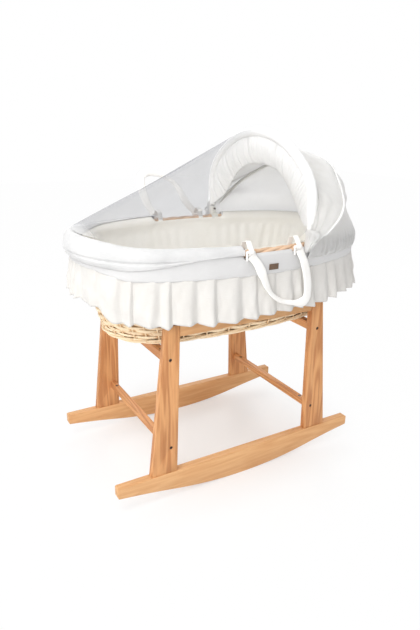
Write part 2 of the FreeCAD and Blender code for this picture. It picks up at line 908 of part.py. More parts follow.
def hood_front_panel():
    """Cloth between the hoops, sagging between them."""
    width = (front_hoop_y + rear_hoop_y) / 2
    reach = (front_hoop_reach + rear_hoop_reach) / 2 - hood_sag
    valley = Arch(width, reach, hoop_shoulder_radius - hood_sag, hoop_leg, hood_cloth_start)
    rings = [
        cloth_ring(front_arch, 0, hoop_clear),
        cloth_ring(valley, rear_hoop_tilt / 2, 0),
        cloth_ring(rear_arch, rear_hoop_tilt, -hoop_clear),
    ]
    return ruled_solid(rings)


def hood_tail():
    """Cloth from the rear hoop over the head end of the rim, with a loose hem outside the band."""
    bulge = Arch(rear_hoop_y + tail_spread, rear_hoop_reach + tail_bulge, hoop_shoulder_radius, hoop_leg,
                 hood_cloth_start)
    outside = band_outer.grown(tail_stand_off + hood_cloth)

    def rows(by):
        return [
            arch_rows(rear_arch.grown(by), rear_hoop_tilt, hoop_clear),
            arch_rows(bulge.grown(by), tail_bulge_tilt, 0),
            rim_rows(outside.grown(by), border_z + pad_outer_radius + tail_lift),
            rim_rows(outside.grown(by), border_z - tail_drop),
        ]

    return ruled_solid([strip_ring(outer, inner) for outer, inner in zip(rows(0), rows(-hood_cloth))])


def arch_rows(arch, tilt, shift):
    """The tail's seven lengths along an arch: two legs, two shoulders and a crown in three."""
    near_leg, near_shoulder, crown, far_shoulder, far_leg = arch.paths(tilt, shift)
    crowns = split_row(crown, (tail_crown_share, 1 - tail_crown_share))
    return [near_leg, near_shoulder] + crowns + [far_shoulder, far_leg]


def rim_rows(oval, z):
    """The tail's seven lengths round the head end of the rim: each side in three, and the cap."""
    near, cap, far = arc_points(oval.round_end(pad_notch_head, 1), z)
    far_shares = tuple(1 - share for share in tail_side_shares[::-1])
    return split_row(near, tail_side_shares) + [cap] + split_row(far, far_shares)


def hood_brim():
    """Gathered brim inside the front hoop, left open in the middle."""
    outer = Arch(front_hoop_y, front_hoop_reach, hoop_shoulder_radius, hoop_leg, brim_start).grown(-hoop_clear)
    inner_y = front_hoop_y - brim_side
    inner = Arch(inner_y, front_hoop_reach - brim_depth, brim_shoulder_radius, brim_leg, brim_start)
    shift = -brim_thickness / 2
    face = Part.Face(Part.Wire(strip_ring(outer.paths(0, shift), inner.paths(0, shift))))
    return face.extrude(ALONG * brim_thickness)


# Net


def net_cover():
    """Net stretched like a tent from the front hoop to the foot half of the rim."""
    arch = Arch(front_hoop_y, front_hoop_reach, hoop_shoulder_radius, hoop_leg, net_start)
    edge = band_outer.grown(cloth_gap + net_thickness)
    edge_z = border_z + pad_outer_radius + net_lift

    def edge_paths(oval):
        near, cap, far = oval.round_end(hood_x - net_clip_gap, -1)
        return arc_points([near] + split_in_three(cap) + [far], edge_z)

    rings = [
        strip_ring(arch.paths(0, -hoop_clear), arch.grown(-net_thickness).paths(0, -hoop_clear)),
        strip_ring(edge_paths(edge), edge_paths(edge.grown(-net_thickness))),
    ]
    return ruled_solid(rings)


def net_hem():
    """Padded hem of the net round the outside of the rim at the foot, rising towards the handles."""
    inner = band_outer.grown(cloth_gap)
    outer = inner.grown(hem_thickness)
    ring = oval_ring(outer, inner, hem_bottom, hem_top)
    far = outer.half_width + cut_overrun
    below = hem_bottom - cut_overrun
    past_end = V(basket_x + outer.half_length + cut_overrun, far, hem_top + cut_overrun)
    head = block(V(hem_side_x, -far, below), past_end)
    slope_x = hem_side_x - hem_slope_length
    under = [
        V(slope_x, 0, below),
        V(hem_side_x + cut_overrun, 0, below),
        V(hem_side_x + cut_overrun, 0, hem_top - hem_side_height),
        V(slope_x, 0, hem_bottom),
    ]
    return ring.cut([head, plate(under, 2 * far, 0)])


def stand_pieces():
    """Every piece of the stand, by name."""
    pieces = {}
    side_names = {-1: "front", 1: "rear"}
    end_names = {-1: "foot", 1: "head"}
    for side in NEAR_AND_FAR:
        pieces["rocker_" + side_names[side]] = rocker(side)
        pieces["side_rail_" + side_names[side]] = side_rail(side)
    for side, end in each_corner():
        pieces["leg_" + side_names[side] + "_" + end_names[end]] = leg(side, end)
    for end in FOOT_AND_HEAD:
        rail = cross_bar(end, cross_rail_thickness, cross_rail_height, cross_rail_z)
        stretcher = cross_bar(end, stretcher_thickness, stretcher_height, stretcher_z)
        pieces["cross_rail_" + end_names[end]] = rail
        pieces["stretcher_" + end_names[end]] = stretcher
    corners = each_corner()
    places = [(side, end, row) for side, end in corners for row in bolt_rows]
    pieces["frame_bolts"] = Part.makeCompound([bolt(s, e, z) for s, e, (z, _) in places])
    pieces["barrel_nuts"] = Part.makeCompound([nut_with_hole(s, e, z, h) for s, e, (z, h) in places])
    pieces["leg_dowels"] = Part.makeCompound(
        [leg_dowel(s, e, x, leg_dowel_radius) for s, e in corners for x in leg_dowel_xs()])
    pieces["rail_dowels"] = Part.makeCompound(
        [side_dowel(s, e, z, side_dowel_radius) for s, e in corners for z in side_dowel_zs()])
    return pieces


def basket_pieces():
    """Every piece of the basket, its dressing and its handles, by name."""
    anchors = [handle_anchor(side, x) for side in NEAR_AND_FAR for x in anchor_xs]
    return {
        "wicker_tub": wicker_tub(),
        "wicker_border": wicker_border(),
        "lining": lining(),
        "mattress": mattress(),
        "rim_pad_foot": rim_pad(pad_notch_foot, -1),
        "rim_pad_head": rim_pad(pad_notch_head, 1),
        "skirt_band": skirt_band(),
        "frill": frill(),
        "label": label(),
        "handle_anchors": Part.makeCompound(anchors),
        "handle_near": handle(-1, strap_hang_angle),
        "handle_far": handle(1, 180 - strap_lean_angle),
    }


def hood_pieces():
    """Every piece of the hood and the net, by name."""
    return {
        "hood_clips": Part.makeCompound([hood_clip(side) for side in NEAR_AND_FAR]),
        "hood_pins": Part.makeCompound([hood_pin(side) for side in NEAR_AND_FAR]),
        "front_hoop": hoop(front_arch, 0),
        "rear_hoop": hoop(rear_arch, rear_hoop_tilt),
        "hood_front_panel": hood_front_panel(),
        "hood_tail": hood_tail(),
        "hood_brim": hood_brim(),
        "net_cover": net_cover(),
        "net_hem": net_hem(),
    }


def main():
    """Build every piece and write it under its own name."""
    os.makedirs("parts", exist_ok=True)
    pieces = {**stand_pieces(), **basket_pieces(), **hood_pieces()}
    for name, shape in pieces.items():
        shape.exportStep("parts/" + name + ".step")
        sound = all(solid.isValid() for solid in shape.Solids)
        box = shape.BoundBox
        print(name, len(shape.Solids), "solid", "sound" if sound else "UNSOUND", round(shape.Volume), "mm3",
              [round(v, 1) for v in (box.XMin, box.XMax, box.YMin, box.YMax, box.ZMin, box.ZMax)])


main()
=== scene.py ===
"""Rocking moses basket: an add-on that builds the shown pieces over the CAD frame."""

import math

import bmesh
import bpy
import numpy as np
from mathutils import Matrix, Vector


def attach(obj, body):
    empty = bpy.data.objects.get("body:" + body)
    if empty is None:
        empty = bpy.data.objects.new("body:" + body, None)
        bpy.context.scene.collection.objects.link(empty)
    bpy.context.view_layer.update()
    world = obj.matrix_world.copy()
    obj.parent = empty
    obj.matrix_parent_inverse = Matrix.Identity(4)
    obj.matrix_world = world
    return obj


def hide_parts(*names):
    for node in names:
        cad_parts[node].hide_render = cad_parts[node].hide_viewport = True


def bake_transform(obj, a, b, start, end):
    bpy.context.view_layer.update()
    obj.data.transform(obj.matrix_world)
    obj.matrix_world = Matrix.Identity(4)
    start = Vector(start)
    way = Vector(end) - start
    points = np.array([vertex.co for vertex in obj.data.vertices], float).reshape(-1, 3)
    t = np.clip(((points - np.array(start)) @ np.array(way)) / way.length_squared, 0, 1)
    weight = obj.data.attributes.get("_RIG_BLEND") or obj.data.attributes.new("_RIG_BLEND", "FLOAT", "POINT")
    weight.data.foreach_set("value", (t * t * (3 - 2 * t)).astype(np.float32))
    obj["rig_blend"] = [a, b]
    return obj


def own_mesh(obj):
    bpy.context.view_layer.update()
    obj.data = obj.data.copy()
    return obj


bl_info = {
    "name": "Rocking moses basket",
    "version": (1, 0, 0),
    "blender": (4, 5, 0),
    "location": "View3D > Sidebar > Moses basket",
    "description": "Builds the wicker, the cloth, the hood and the stand of a moses basket",
    "category": "Add Mesh",
}

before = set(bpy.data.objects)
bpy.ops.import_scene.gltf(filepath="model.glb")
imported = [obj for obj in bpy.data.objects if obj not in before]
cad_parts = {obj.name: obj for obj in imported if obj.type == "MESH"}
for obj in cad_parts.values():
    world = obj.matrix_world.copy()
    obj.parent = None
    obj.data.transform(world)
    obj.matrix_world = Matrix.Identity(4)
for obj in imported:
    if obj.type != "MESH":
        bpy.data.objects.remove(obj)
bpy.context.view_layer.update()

# Places shared with the CAD, in metres

BASKET_X = 0.028
BASE_Z = 0.409
TUB_TOP_Z = 0.6237
WALL_HEIGHT = TUB_TOP_Z - BASE_Z
BORDER_Z = 0.635
HOOD_X = 0.147
HOOD_Z = 0.664
HOOD_AXIS = np.array([HOOD_X, 0, HOOD_Z])
REAR_TILT = math.radians(47)
HOOP_LEG = 0.076
FOOT_RISE = 0.018
STRAP_Y = 0.2597
STRAP_Z = 0.644
STRAP_END = 0.070
LOOP_X = (BASKET_X - STRAP_END, BASKET_X + STRAP_END)
PAD_X = {"rim_pad_foot": -0.070, "rim_pad_head": 0.172}

# Ovals: half length, half width and radius of the ends

BASE = (0.340, 0.165, 0.148)
TUB_TOP = (0.404, 0.244, 0.207)
BORDER = (0.400, 0.240, 0.203)
MATTRESS = (0.3235, 0.1485, 0.1315)

# Ways round the wall and the border, roughly, which turn a short length into a share

WALL_ROUND = 1.8
BORDER_ROUND = 2.1

# CAD nodes by the look that they get

BOARDS = {
    "wood_lengthwise": ("rocker_front", "rocker_rear", "side_rail_front", "side_rail_rear"),
    "wood_upright": ("leg_front_foot", "leg_front_head", "leg_rear_foot", "leg_rear_head"),
    "wood_crosswise": ("cross_rail_foot", "cross_rail_head", "stretcher_foot", "stretcher_head"),
}
HARDWARE = {
    "brown_steel": ("frame_bolts", "barrel_nuts", "hood_pins"),
    "dowel_beech": ("leg_dowels", "rail_dowels"),
    "white_plastic": ("hood_clips",),
}


# Numbers


def shares(count):
    """Even shares of the way round a closed line."""
    return np.arange(count) / count


def angles(count):
    """Even angles round a circle."""
    return np.arange(count) * 2 * np.pi / count


def grid_of(*values):
    """The values spread to one shared grid."""
    return np.broadcast_arrays(*[np.asarray(value, float) for value in values])


def unit(vectors):
    """The vectors at a length of one."""
    return vectors / np.linalg.norm(vectors, axis=-1, keepdims=True)


def smooth(value, low, high):
    """A soft step from 0 at low to 1 at high."""
    t = np.clip((np.asarray(value, float) - low) / (high - low), 0, 1)
    return t * t * (3 - 2 * t)


def hump(share, power=1.0):
    """Half a sine wave, from 0 over 1 to 0, raised to a power."""
    return np.sin(np.pi * share) ** power


def bell(value, middle, width, power=2):
    """A bump, 1 at its middle: e to the minus of a power of the distance in widths."""
    return np.exp(-(((value - middle) / width) ** power))


def bent(value, power):
    """A power that keeps the value's sign."""
    return np.sign(value) * np.abs(value) ** power


def to_end(share):
    """Share of the way to the nearer end."""
    return np.minimum(share, 1 - share)


def ripple(along, across, seed, turns, waves=9, slant=2.0):
    """Soft unevenness, about one high: a sum of sine waves with whole turns along, slanted across, of
    random phase."""
    rng = np.random.default_rng(seed)
    total = 0.0
    for _ in range(waves):
        turn = rng.integers(turns[0], turns[1] + 1)
        lean = rng.uniform(-slant, slant)
        phase = rng.uniform(0, 2 * np.pi)
        total = total + np.sin(2 * np.pi * (turn * along + lean * across) + phase)
    return total / math.sqrt(waves)


# Shapes


def arcs(size):
    """An oval's four arcs: how far the middles of the ends lie from its own, the radius of its long sides
    and half the turn of an end."""
    half_length, half_width, end = size
    offset = half_length - end
    side = (offset**2 + half_width**2 - end**2) / (2 * (half_width - end))
    return offset, side, np.arctan2(side - half_width, offset)


def oval(size, share):
    """Points and outward directions of an oval of four arcs, at shares of its length from the near side's
    foot end, towards the head."""
    offset, side, turn = arcs(size)
    end = size[2]
    shift = side - size[1]
    half = np.pi / 2 - turn
    starts = np.array([-np.pi / 2 - half, -turn, np.pi / 2 - half, np.pi - turn])
    radii = np.array([side, end, side, end])
    middles = np.array([[0, shift], [offset, 0], [0, -shift], [-offset, 0]])
    ends = np.concatenate([[0], np.cumsum(2 * radii * [half, turn, half, turn])])
    way = (np.asarray(share, float) % 1) * ends[-1]
    arc = np.clip(np.searchsorted(ends, way, side="right") - 1, 0, 3)
    angle = starts[arc] + (way - ends[arc]) / radii[arc]
    out = np.stack([np.cos(angle), np.sin(angle)], -1)
    return middles[arc] + radii[arc][..., None] * out + [BASKET_X, 0], out


def border_shares(x):
    """Shares of the border's length where its near side and its far side pass x."""
    _, side, turn = arcs(BORDER)
    half = np.pi / 2 - turn
    length = 4 * (half * side + turn * BORDER[2])
    along = np.arcsin((x - BASKET_X) / side)
    return (half + along) * side / length, (half - along) * side / length + 0.5


def ring(size, share, grow, height):
    """Points round an oval, moved outward by grow, at a height."""
    share, grow, height = grid_of(share, grow, height)
    at, out = oval(size, share)
    return np.concatenate([at + out * grow[..., None], height[..., None]], -1)


def wall(share, rise, grow):
    """Points of the basket's wall: straight lines from the base oval to the top oval, at shares of the way
    up, moved outward by grow."""
    share, rise, grow = grid_of(share, rise, grow)
    low, low_out = oval(BASE, share)
    top, top_out = oval(TUB_TOP, share)
    up = rise[..., None]
    flat = low + (top - low) * up + (low_out + (top_out - low_out) * up) * grow[..., None]
    return np.concatenate([flat, BASE_Z + WALL_HEIGHT * up], -1)


def disc(size, share, inward, height):
    """Points of a pad: shares of the way from its middle to just inside an oval, at given heights."""
    inside = 0.985
    edge, _ = oval(size, share)
    middle = np.array([BASKET_X, 0.0])
    flat = middle + (edge - middle) * (inward * inside)[..., None]
    return np.concatenate([flat, np.broadcast_to(height[..., None], flat.shape[:2] + (1,))], -1)


def strands(size, share, turns, count, lay, rod, inset, height):
    """Rods twisted round one another along an oval: the middle of each turns about the oval's line at the
    radius lay, and a circle of the radius rod stands about that middle."""
    way = share[None, :, None]
    twist = 2 * np.pi * (turns * way + np.arange(count)[:, None, None] / count)
    around = angles(8)
    grow = inset + lay * np.cos(twist) + rod * np.cos(around)
    return ring(size, way, grow, height + lay * np.sin(twist) + rod * np.sin(around))


def arch(half_width, reach, shoulder, leg, start, share):
    """Across and up along a hoop, at shares of its length from near foot to far foot: straight legs, round
    shoulders and a flatter crown that meet without a corner."""
    half_width, reach, shoulder, leg, start, share = grid_of(half_width, reach, shoulder, leg, start, share)
    rise = reach - leg
    inner = half_width - shoulder
    crown = (inner**2 + rise**2 - shoulder**2) / (2 * (rise - shoulder))
    lean = np.arctan2(inner, crown - rise)
    leg_end = leg - start
    bend_end = leg_end + shoulder * (np.pi / 2 - lean)
    way = to_end(share) * 2 * (bend_end + crown * lean)
    bend = np.clip((way - leg_end) / shoulder, 0, np.pi / 2)
    tip = np.clip(lean - (way - bend_end) / crown, 0, None)
    parts = [way < leg_end, way < bend_end]
    across = np.select(parts, [half_width, inner + shoulder * np.cos(bend)], crown * np.sin(tip))
    up = np.select(parts, [start + way, leg + shoulder * np.sin(bend)], reach - crown + crown * np.cos(tip))
    return across * np.where(share < 0.5, -1, 1), up


def hood(across, up, tilt, behind=0.0):
    """Points of the hood: across the basket, up along a hoop that leans back by tilt about the hood's axis,
    moved behind that hoop."""
    across, up, tilt, behind = grid_of(across, up, tilt, behind)
    x = HOOD_X + up * np.sin(tilt) + behind * np.cos(tilt)
    return np.stack([x, across, HOOD_Z + up * np.cos(tilt) - behind * np.sin(tilt)], -1)


def through(rings, share):
    """A smooth surface through rings of points: cubic curves whose slope at each ring is half the step
    between its neighbours."""
    rings = np.asarray(rings)
    last = len(rings) - 1
    padded = np.concatenate([2 * rings[:1] - rings[1:2], rings, 2 * rings[-1:] - rings[-2:-1]])
    where = np.clip(np.asarray(share) * last, 0, last - 1e-9)
    first = where.astype(int)
    t = (where - first).reshape((-1,) + (1,) * (rings.ndim - 1))
    a, b, c, d = (padded[first + i] for i in range(4))
    curve = 2 * b + (c - a) * t + (2 * a - 5 * b + 4 * c - d) * t**2 + (3 * b - a - 3 * c + d) * t**3
    return np.moveaxis(0.5 * curve, 0, -2)


def line_through(points, share):
    """A smooth line through points."""
    return through(np.asarray(points)[:, None], share)[0]


def carried(path, side, rise, section):
    """A section carried along a path: each path point plus the section's two measures along side and
    rise."""
    side, rise = (np.broadcast_to(way, path.shape)[:, None] for way in (side, rise))
    return path[:, None] + side * section[..., 0:1] + rise * section[..., 1:2]


def round_section(count, wide, high, square=2.0):
    """A closed section with round corners: cosine and sine of the angle, raised to 2 over square, times
    the half sizes."""
    angle = angles(count)
    return np.stack([wide * bent(np.cos(angle), 2 / square), high * bent(np.sin(angle), 2 / square)], -1)


# Meshes and pieces


def read_points(mesh):
    """The mesh's points, a row for each."""
    flat = np.empty(len(mesh.vertices) * 3, np.float32)
    mesh.vertices.foreach_get("co", flat)
    return flat.reshape(-1, 3)


def write_points(mesh, points):
    """Moves the mesh's points."""
    mesh.vertices.foreach_set("co", points.reshape(-1).astype(np.float32))


def surface(points, round_u=False, round_v=False, caps=False, tone=0.5):
    """A mesh over one grid of points, or over several alike: faces between neighbours, closed round where
    asked, with a map in metres and a tone for each grid or point."""
    points = np.asarray(points, float)
    if points.ndim == 3:
        points = points[None]
    count, rows, columns = points.shape[:3]
    steps = np.arange(count), np.arange(rows - (not round_u)), np.arange(columns - (not round_v))
    grid, row, column = np.meshgrid(*steps, indexing="ij")
    corners = [(row, column), (row + 1, column), (row + 1, column + 1), (row, column + 1)]
    quads = [(grid * rows + a % rows) * columns + b % columns for a, b in corners]
    loops = np.stack(quads, -1).ravel()
    starts = np.arange(grid.size) * 4
    lengths = []
    for axis, other in ((1, 2), (2, 1)):
        step = np.linalg.norm(np.roll(points, -1, axis) - points, axis=-1).mean(other)
        lengths.append(np.concatenate([np.zeros((count, 1)), np.cumsum(step, 1)], 1))
    along, across = lengths
    flat = np.stack([np.stack([along[grid, a], across[grid, b]], -1) for a, b in corners], -2).reshape(-1, 2)
    if caps:
        first = (np.arange(count) * rows * columns)[:, None] + np.arange(columns)
        last = ((np.arange(count) * rows + rows - 1) * columns)[:, None] + np.arange(columns)[::-1]
        ends = np.concatenate([first, last])
        starts = np.concatenate([starts, len(loops) + np.arange(len(ends)) * columns])
        loops = np.concatenate([loops, ends.ravel()])
        flat = np.concatenate([flat, np.zeros((ends.size, 2))])
    mesh = bpy.data.meshes.new("surface")
    mesh.vertices.add(count * rows * columns)
    write_points(mesh, points)
    mesh.loops.add(len(loops))
    mesh.loops.foreach_set("vertex_index", loops.astype(np.int32))
    mesh.polygons.add(len(starts))
    mesh.polygons.foreach_set("loop_start", starts.astype(np.int32))
    mesh.polygons.foreach_set("use_smooth", np.ones(len(starts), bool))
    mesh.update(calc_edges=True)
    layer = mesh.uv_layers.new(name="metres")
    layer.uv.foreach_set("vector", flat.reshape(-1).astype(np.float32))
    tones = np.atleast_1d(np.asarray(tone, float))
    tones = np.broadcast_to(tones.reshape(tones.shape + (1,) * (3 - tones.ndim)), (count, rows, columns))
    mark = mesh.attributes.new("tone", "FLOAT", "POINT")
    mark.data.foreach_set("value", tones.ravel().astype(np.float32))
    mesh.validate()
    return mesh


def tube(points, tone=0.5):
    """A surface that is closed both ways."""
    return surface(points, round_u=True, round_v=True, tone=tone)


def roll(points, tone=0.5):
    """A surface that is closed round its section and has flat ends."""
    return surface(points, round_v=True, caps=True, tone=tone)


def joined(meshes):
    """One mesh out of several."""
    work = bmesh.new()
    for mesh in meshes:
        work.from_mesh(mesh)
    whole = bpy.data.meshes.new("joined")
    work.to_mesh(whole)
    work.free()
    return whole


def pad(size, share, inward, height):
    """A closed mesh over a disc, its points merged at the middle."""
    mesh = surface(disc(size, share, inward, height), round_u=True)
    work = bmesh.new()
    work.from_mesh(mesh)
    bmesh.ops.remove_doubles(work, verts=work.verts, dist=2e-4)
    work.to_mesh(mesh)
    work.free()
    return mesh


def put(name, mesh, look, slot, body=None, *stands_for):
    """A new piece in the scene, with its finish, the CAD nodes it stands for and the body it rides on. The
    slot is not used."""
    mesh.name = name
    piece = bpy.data.objects.new(name, mesh)
    bpy.context.scene.collection.objects.link(piece)
    piece.data.materials.append(finish(look))
    if stands_for:
        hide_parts(*stands_for)
    if body:
        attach(piece, body)
    return piece


def cloth_thick(piece, thickness, inward=0.0):
    """Gives a sheet its thickness."""
    solid = piece.modifiers.new("thickness", "SOLIDIFY")
    solid.thickness = thickness
    solid.offset = inward
    solid.use_even_offset = False


def whole_board(node):
    """A copy of a CAD board, its points merged and its flat faces whole."""
    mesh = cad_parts[node].data.copy()
    mesh.materials.clear()
    work = bmesh.new()
    work.from_mesh(mesh)
    bmesh.ops.remove_doubles(work, verts=work.verts, dist=1e-5)
    bmesh.ops.dissolve_limit(work, angle_limit=math.radians(0.4), verts=work.verts, edges=work.edges)
    for face in work.faces:
        face.smooth = True
    work.to_mesh(mesh)
    work.free()
    return mesh


def as_shown(piece):
    """The piece's mesh with its modifiers applied."""
    return bpy.data.meshes.new_from_object(piece.evaluated_get(bpy.context.evaluated_depsgraph_get()))


def puffed(piece, cell, pressure, most, steps=20):
    """Filled cloth: even cells, some steps of cloth under pressure, each point moved no further than most."""
    scene = bpy.context.scene
    cells = piece.modifiers.new("cells", "REMESH")
    cells.mode = "VOXEL"
    cells.voxel_size = cell
    piece.data = as_shown(piece)
    piece.modifiers.clear()
    rest = read_points(piece.data)
    cloth = piece.modifiers.new("filling", "CLOTH")
    cloth.settings.use_pressure = True
    cloth.settings.uniform_pressure_force = pressure
    cloth.settings.effector_weights.gravity = 0
    cloth.point_cache.frame_start = 1
    cloth.point_cache.frame_end = steps
    for step in range(1, steps + 1):
        scene.frame_set(step)
    move = read_points(as_shown(piece)) - rest
    piece.modifiers.clear()
    scene.frame_set(1)
    length = np.linalg.norm(move, axis=1, keepdims=True)
    return rest + move * np.minimum(1, most / np.maximum(length, 1e-9))


# Finishes


class Wire:
    """A shader node's output, with ordinary arithmetic."""

    def __init__(self, nodes, socket):
        self.nodes = nodes
        self.socket = socket

    def __add__(self, other):
        return self.nodes.sum("ADD", self, other)

    def __sub__(self, other):
        return self.nodes.sum("SUBTRACT", self, other)

    def __mul__(self, other):
        return self.nodes.sum("MULTIPLY", self, other)

    __radd__ = __add__
    __rmul__ = __mul__


class Nodes:
    """The shader nodes of a material or a world."""

    def __init__(self, owner):
        owner.use_nodes = True
        self.owner = owner
        self.tree = owner.node_tree
        self.tree.nodes.clear()

    def node(self, kind, inputs=None, out=0, **settings):
        """Adds a node: its settings first, then its inputs by name or place, each a wire or a constant.
        Gives the asked output."""
        made = self.tree.nodes.new(kind)
        for key, value in settings.items():
            setattr(made, key, value)
        for key, value in (inputs or {}).items():
            if isinstance(value, Wire):
                self.tree.links.new(value.socket, made.inputs[key])
            else:
                made.inputs[key].default_value = value
        return Wire(self, made.outputs[out])

    def sum(self, operation, a, b):
        return self.node("ShaderNodeMath", {0: a, 1: b}, operation=operation)

    def wave(self, value):
        return self.node("ShaderNodeMath", {0: value}, operation="SINE")

    def threads(self, way, pitch):
        return self.wave(way * (2 * math.pi / pitch))

    def mix(self, share, a, b):
        return self.node("ShaderNodeMix", {0: share, 6: a, 7: b}, out=2, data_type="RGBA")

    def split(self, vector):
        parts = self.node("ShaderNodeSeparateXYZ", {0: vector}).socket.node.outputs
        return [Wire(self, socket) for socket in parts]

    def stretched(self, vector, scale):
        return self.node("ShaderNodeVectorMath", {0: vector, 1: scale}, operation="MULTIPLY")

    def noise(self, vector, scale, detail=3.0, rough=0.55):
        inputs = {"Vector": vector, "Scale": scale, "Detail": detail, "Roughness": rough}
        return self.node("ShaderNodeTexNoise", inputs)

    def between(self, value, low, high):
        return self.node("ShaderNodeMapRange", {0: value, 1: low, 2: high}, interpolation_type="SMOOTHSTEP")

    def bump(self, height, strength, distance):
        return self.node("ShaderNodeBump", {"Strength": strength, "Distance": distance, "Height": height})

    def place(self):
        return self.node("ShaderNodeTexCoord", out="Object")

    def cut(self):
        return self.node("ShaderNodeUVMap", uv_map="metres")

    def plain(self, **inputs):
        """The main surface shader, with spaces for the underscores of its inputs' names."""
        return self.node("ShaderNodeBsdfPrincipled", {k.replace("_", " "): v for k, v in inputs.items()})

    def end(self, shader, kind="ShaderNodeOutputMaterial"):
        """Ends the tree with a shader and gives its owner."""
        self.tree.links.new(shader.socket, self.tree.nodes.new(kind).inputs["Surface"])
        return self.owner

    def done(self, **inputs):
        """Ends the tree with the main surface shader."""
        return self.end(self.plain(**inputs))


def material(name):
    return Nodes(bpy.data.materials.new(name))


def tinted(colour, red, green, blue):
    """A colour with a share of its red, green and blue."""
    return (colour[0] * red, colour[1] * green, colour[2] * blue, 1)


def wood(name, across, light, dark, figure):
    """Oiled wood: fine streaks along the board, broad ones of the strength figure, and slow changes of
    tone. The vector across says how tightly each direction is packed."""
    look = material(name)
    at = look.stretched(look.place(), across)
    broad = look.noise(at, 26.0, 2.0, 0.5)
    fine = look.noise(at, 150.0, 4.0, 0.65)
    rings = look.wave(broad * 46.0) * 0.5 + 0.5
    slow = look.noise(look.place(), 5.0, 2.0)
    streak = look.between((rings - 0.5) * figure + 0.21 + fine * 0.5 + slow * 0.28, 0.28, 0.92)
    return look.done(Base_Color=look.mix(streak, light, dark), Roughness=0.44 + fine * 0.16,
                     Normal=look.bump(fine, 0.12, 0.0006), Specular_IOR_Level=0.35)


def steel(name, brown):
    """Dark brown steel with turning marks and dull spots; its dark colour also paints the shade of the
    recessed bolt holes.
    """
    look = material(name)
    marks = look.noise(look.stretched(look.place(), (1.0, 6.0, 1.0)), 420.0, 3.0)
    spots = look.noise(look.place(), 60.0, 2.0)
    return look.done(Base_Color=look.mix(spots, brown, (0.10, 0.08, 0.07, 1)), Roughness=0.28 + marks * 0.3,
                     Metallic=1.0, Normal=look.bump(marks, 0.1, 0.0002))


def plastic(name, colour):
    """Moulded plastic, dull, with a fine grain and slight yellowing."""
    look = material(name)
    grain = look.noise(look.place(), 900.0, 2.0)
    age = look.noise(look.place(), 14.0, 2.0)
    return look.done(Base_Color=look.mix(age, colour, tinted(colour, 0.95, 0.92, 0.84)),
                     Roughness=0.42 + grain * 0.16, Normal=look.bump(grain, 0.06, 0.0002))


def willow(name, light, dark):
    """Peeled willow rods: each rod its own tone, with streaks along it and darker knots; on the woven wall
    and its shell the tone also carries painted shade.
    """
    look = material(name)
    u, v, _ = look.split(look.cut())
    tone = look.node("ShaderNodeAttribute", out="Fac", attribute_name="tone")
    along = look.node("ShaderNodeCombineXYZ", {0: u * 9.0, 1: v * 260.0, 2: tone * 40.0})
    streak = look.noise(along, 1.0, 4.0, 0.6)
    knot = look.between(look.noise(look.place(), 70.0, 2.0), 0.58, 0.72)
    share = look.between(tone * 0.62 + streak * 0.5 + knot * 0.3, 0.2, 1.15)
    return look.done(Base_Color=look.mix(share, light, dark), Roughness=0.5 + streak * 0.2,
                     Normal=look.bump(streak, 0.25, 0.0006), Specular_IOR_Level=0.3)


def cotton(name, colour, shade, glow=0.0):
    """Woven cotton: crossing threads, slubs, crushed creases and a soft unevenness of tone; glow is the
    share of light that spreads through the cloth."""
    look = material(name)
    u, v, _ = look.split(look.cut())
    threads = look.threads(u, 0.0011) * look.threads(v, 0.0011)
    slubs = look.noise(look.node("ShaderNodeCombineXYZ", {0: u * 60.0, 1: v * 900.0}), 1.0, 2.0)
    uneven = look.noise(look.place(), 16.0, 3.0)
    crush = look.noise(look.place(), 55.0, 3.0, 0.5)
    share = look.between(uneven * 0.6 + slubs * 0.4, 0.3, 0.75)
    height = threads * 0.12 + slubs * 0.25 + crush * 2.2
    return look.done(Base_Color=look.mix(share, shade, colour), Roughness=0.8 + slubs * 0.15,
                     Normal=look.bump(height, 0.3, 0.0012), Sheen_Weight=0.35, Sheen_Roughness=0.5,
                     Specular_IOR_Level=0.2, Subsurface_Weight=glow, Subsurface_Radius=(1, 1, 1),
                     Subsurface_Scale=0.016)


def webbing(name, colour, shade):
    """Soft strap cloth: ribs across the strap, cords along it, stitches and slight dirt."""
    look = material(name)
    u, v, _ = look.split(look.cut())
    ribs = look.threads(u, 0.0026)
    cords = look.threads(v, 0.0034)
    dirt = look.noise(look.place(), 30.0, 3.0)
    stitch = look.between(look.threads(u, 0.0052), 0.1, 0.5)
    share = look.between(dirt + ribs * 0.05, 0.3, 0.7)
    height = ribs * cords + stitch * 0.3
    return look.done(Base_Color=look.mix(share, shade, colour), Roughness=0.8 + ribs * 0.05,
                     Normal=look.bump(height, 0.3, 0.0008), Sheen_Weight=0.3, Sheen_Roughness=0.5,
                     Specular_IOR_Level=0.2)


def leather(name, colour, shade):
    """Brown leather patch with a pebbled grain."""
    look = material(name)
    pebble = look.node("ShaderNodeTexVoronoi", {"Vector": look.place(), "Scale": 900.0})
    worn = look.noise(look.place(), 120.0, 3.0)
    return look.done(Base_Color=look.mix(worn, shade, colour), Roughness=0.5 + worn * 0.25,
                     Normal=look.bump(pebble, 0.35, 0.0004))


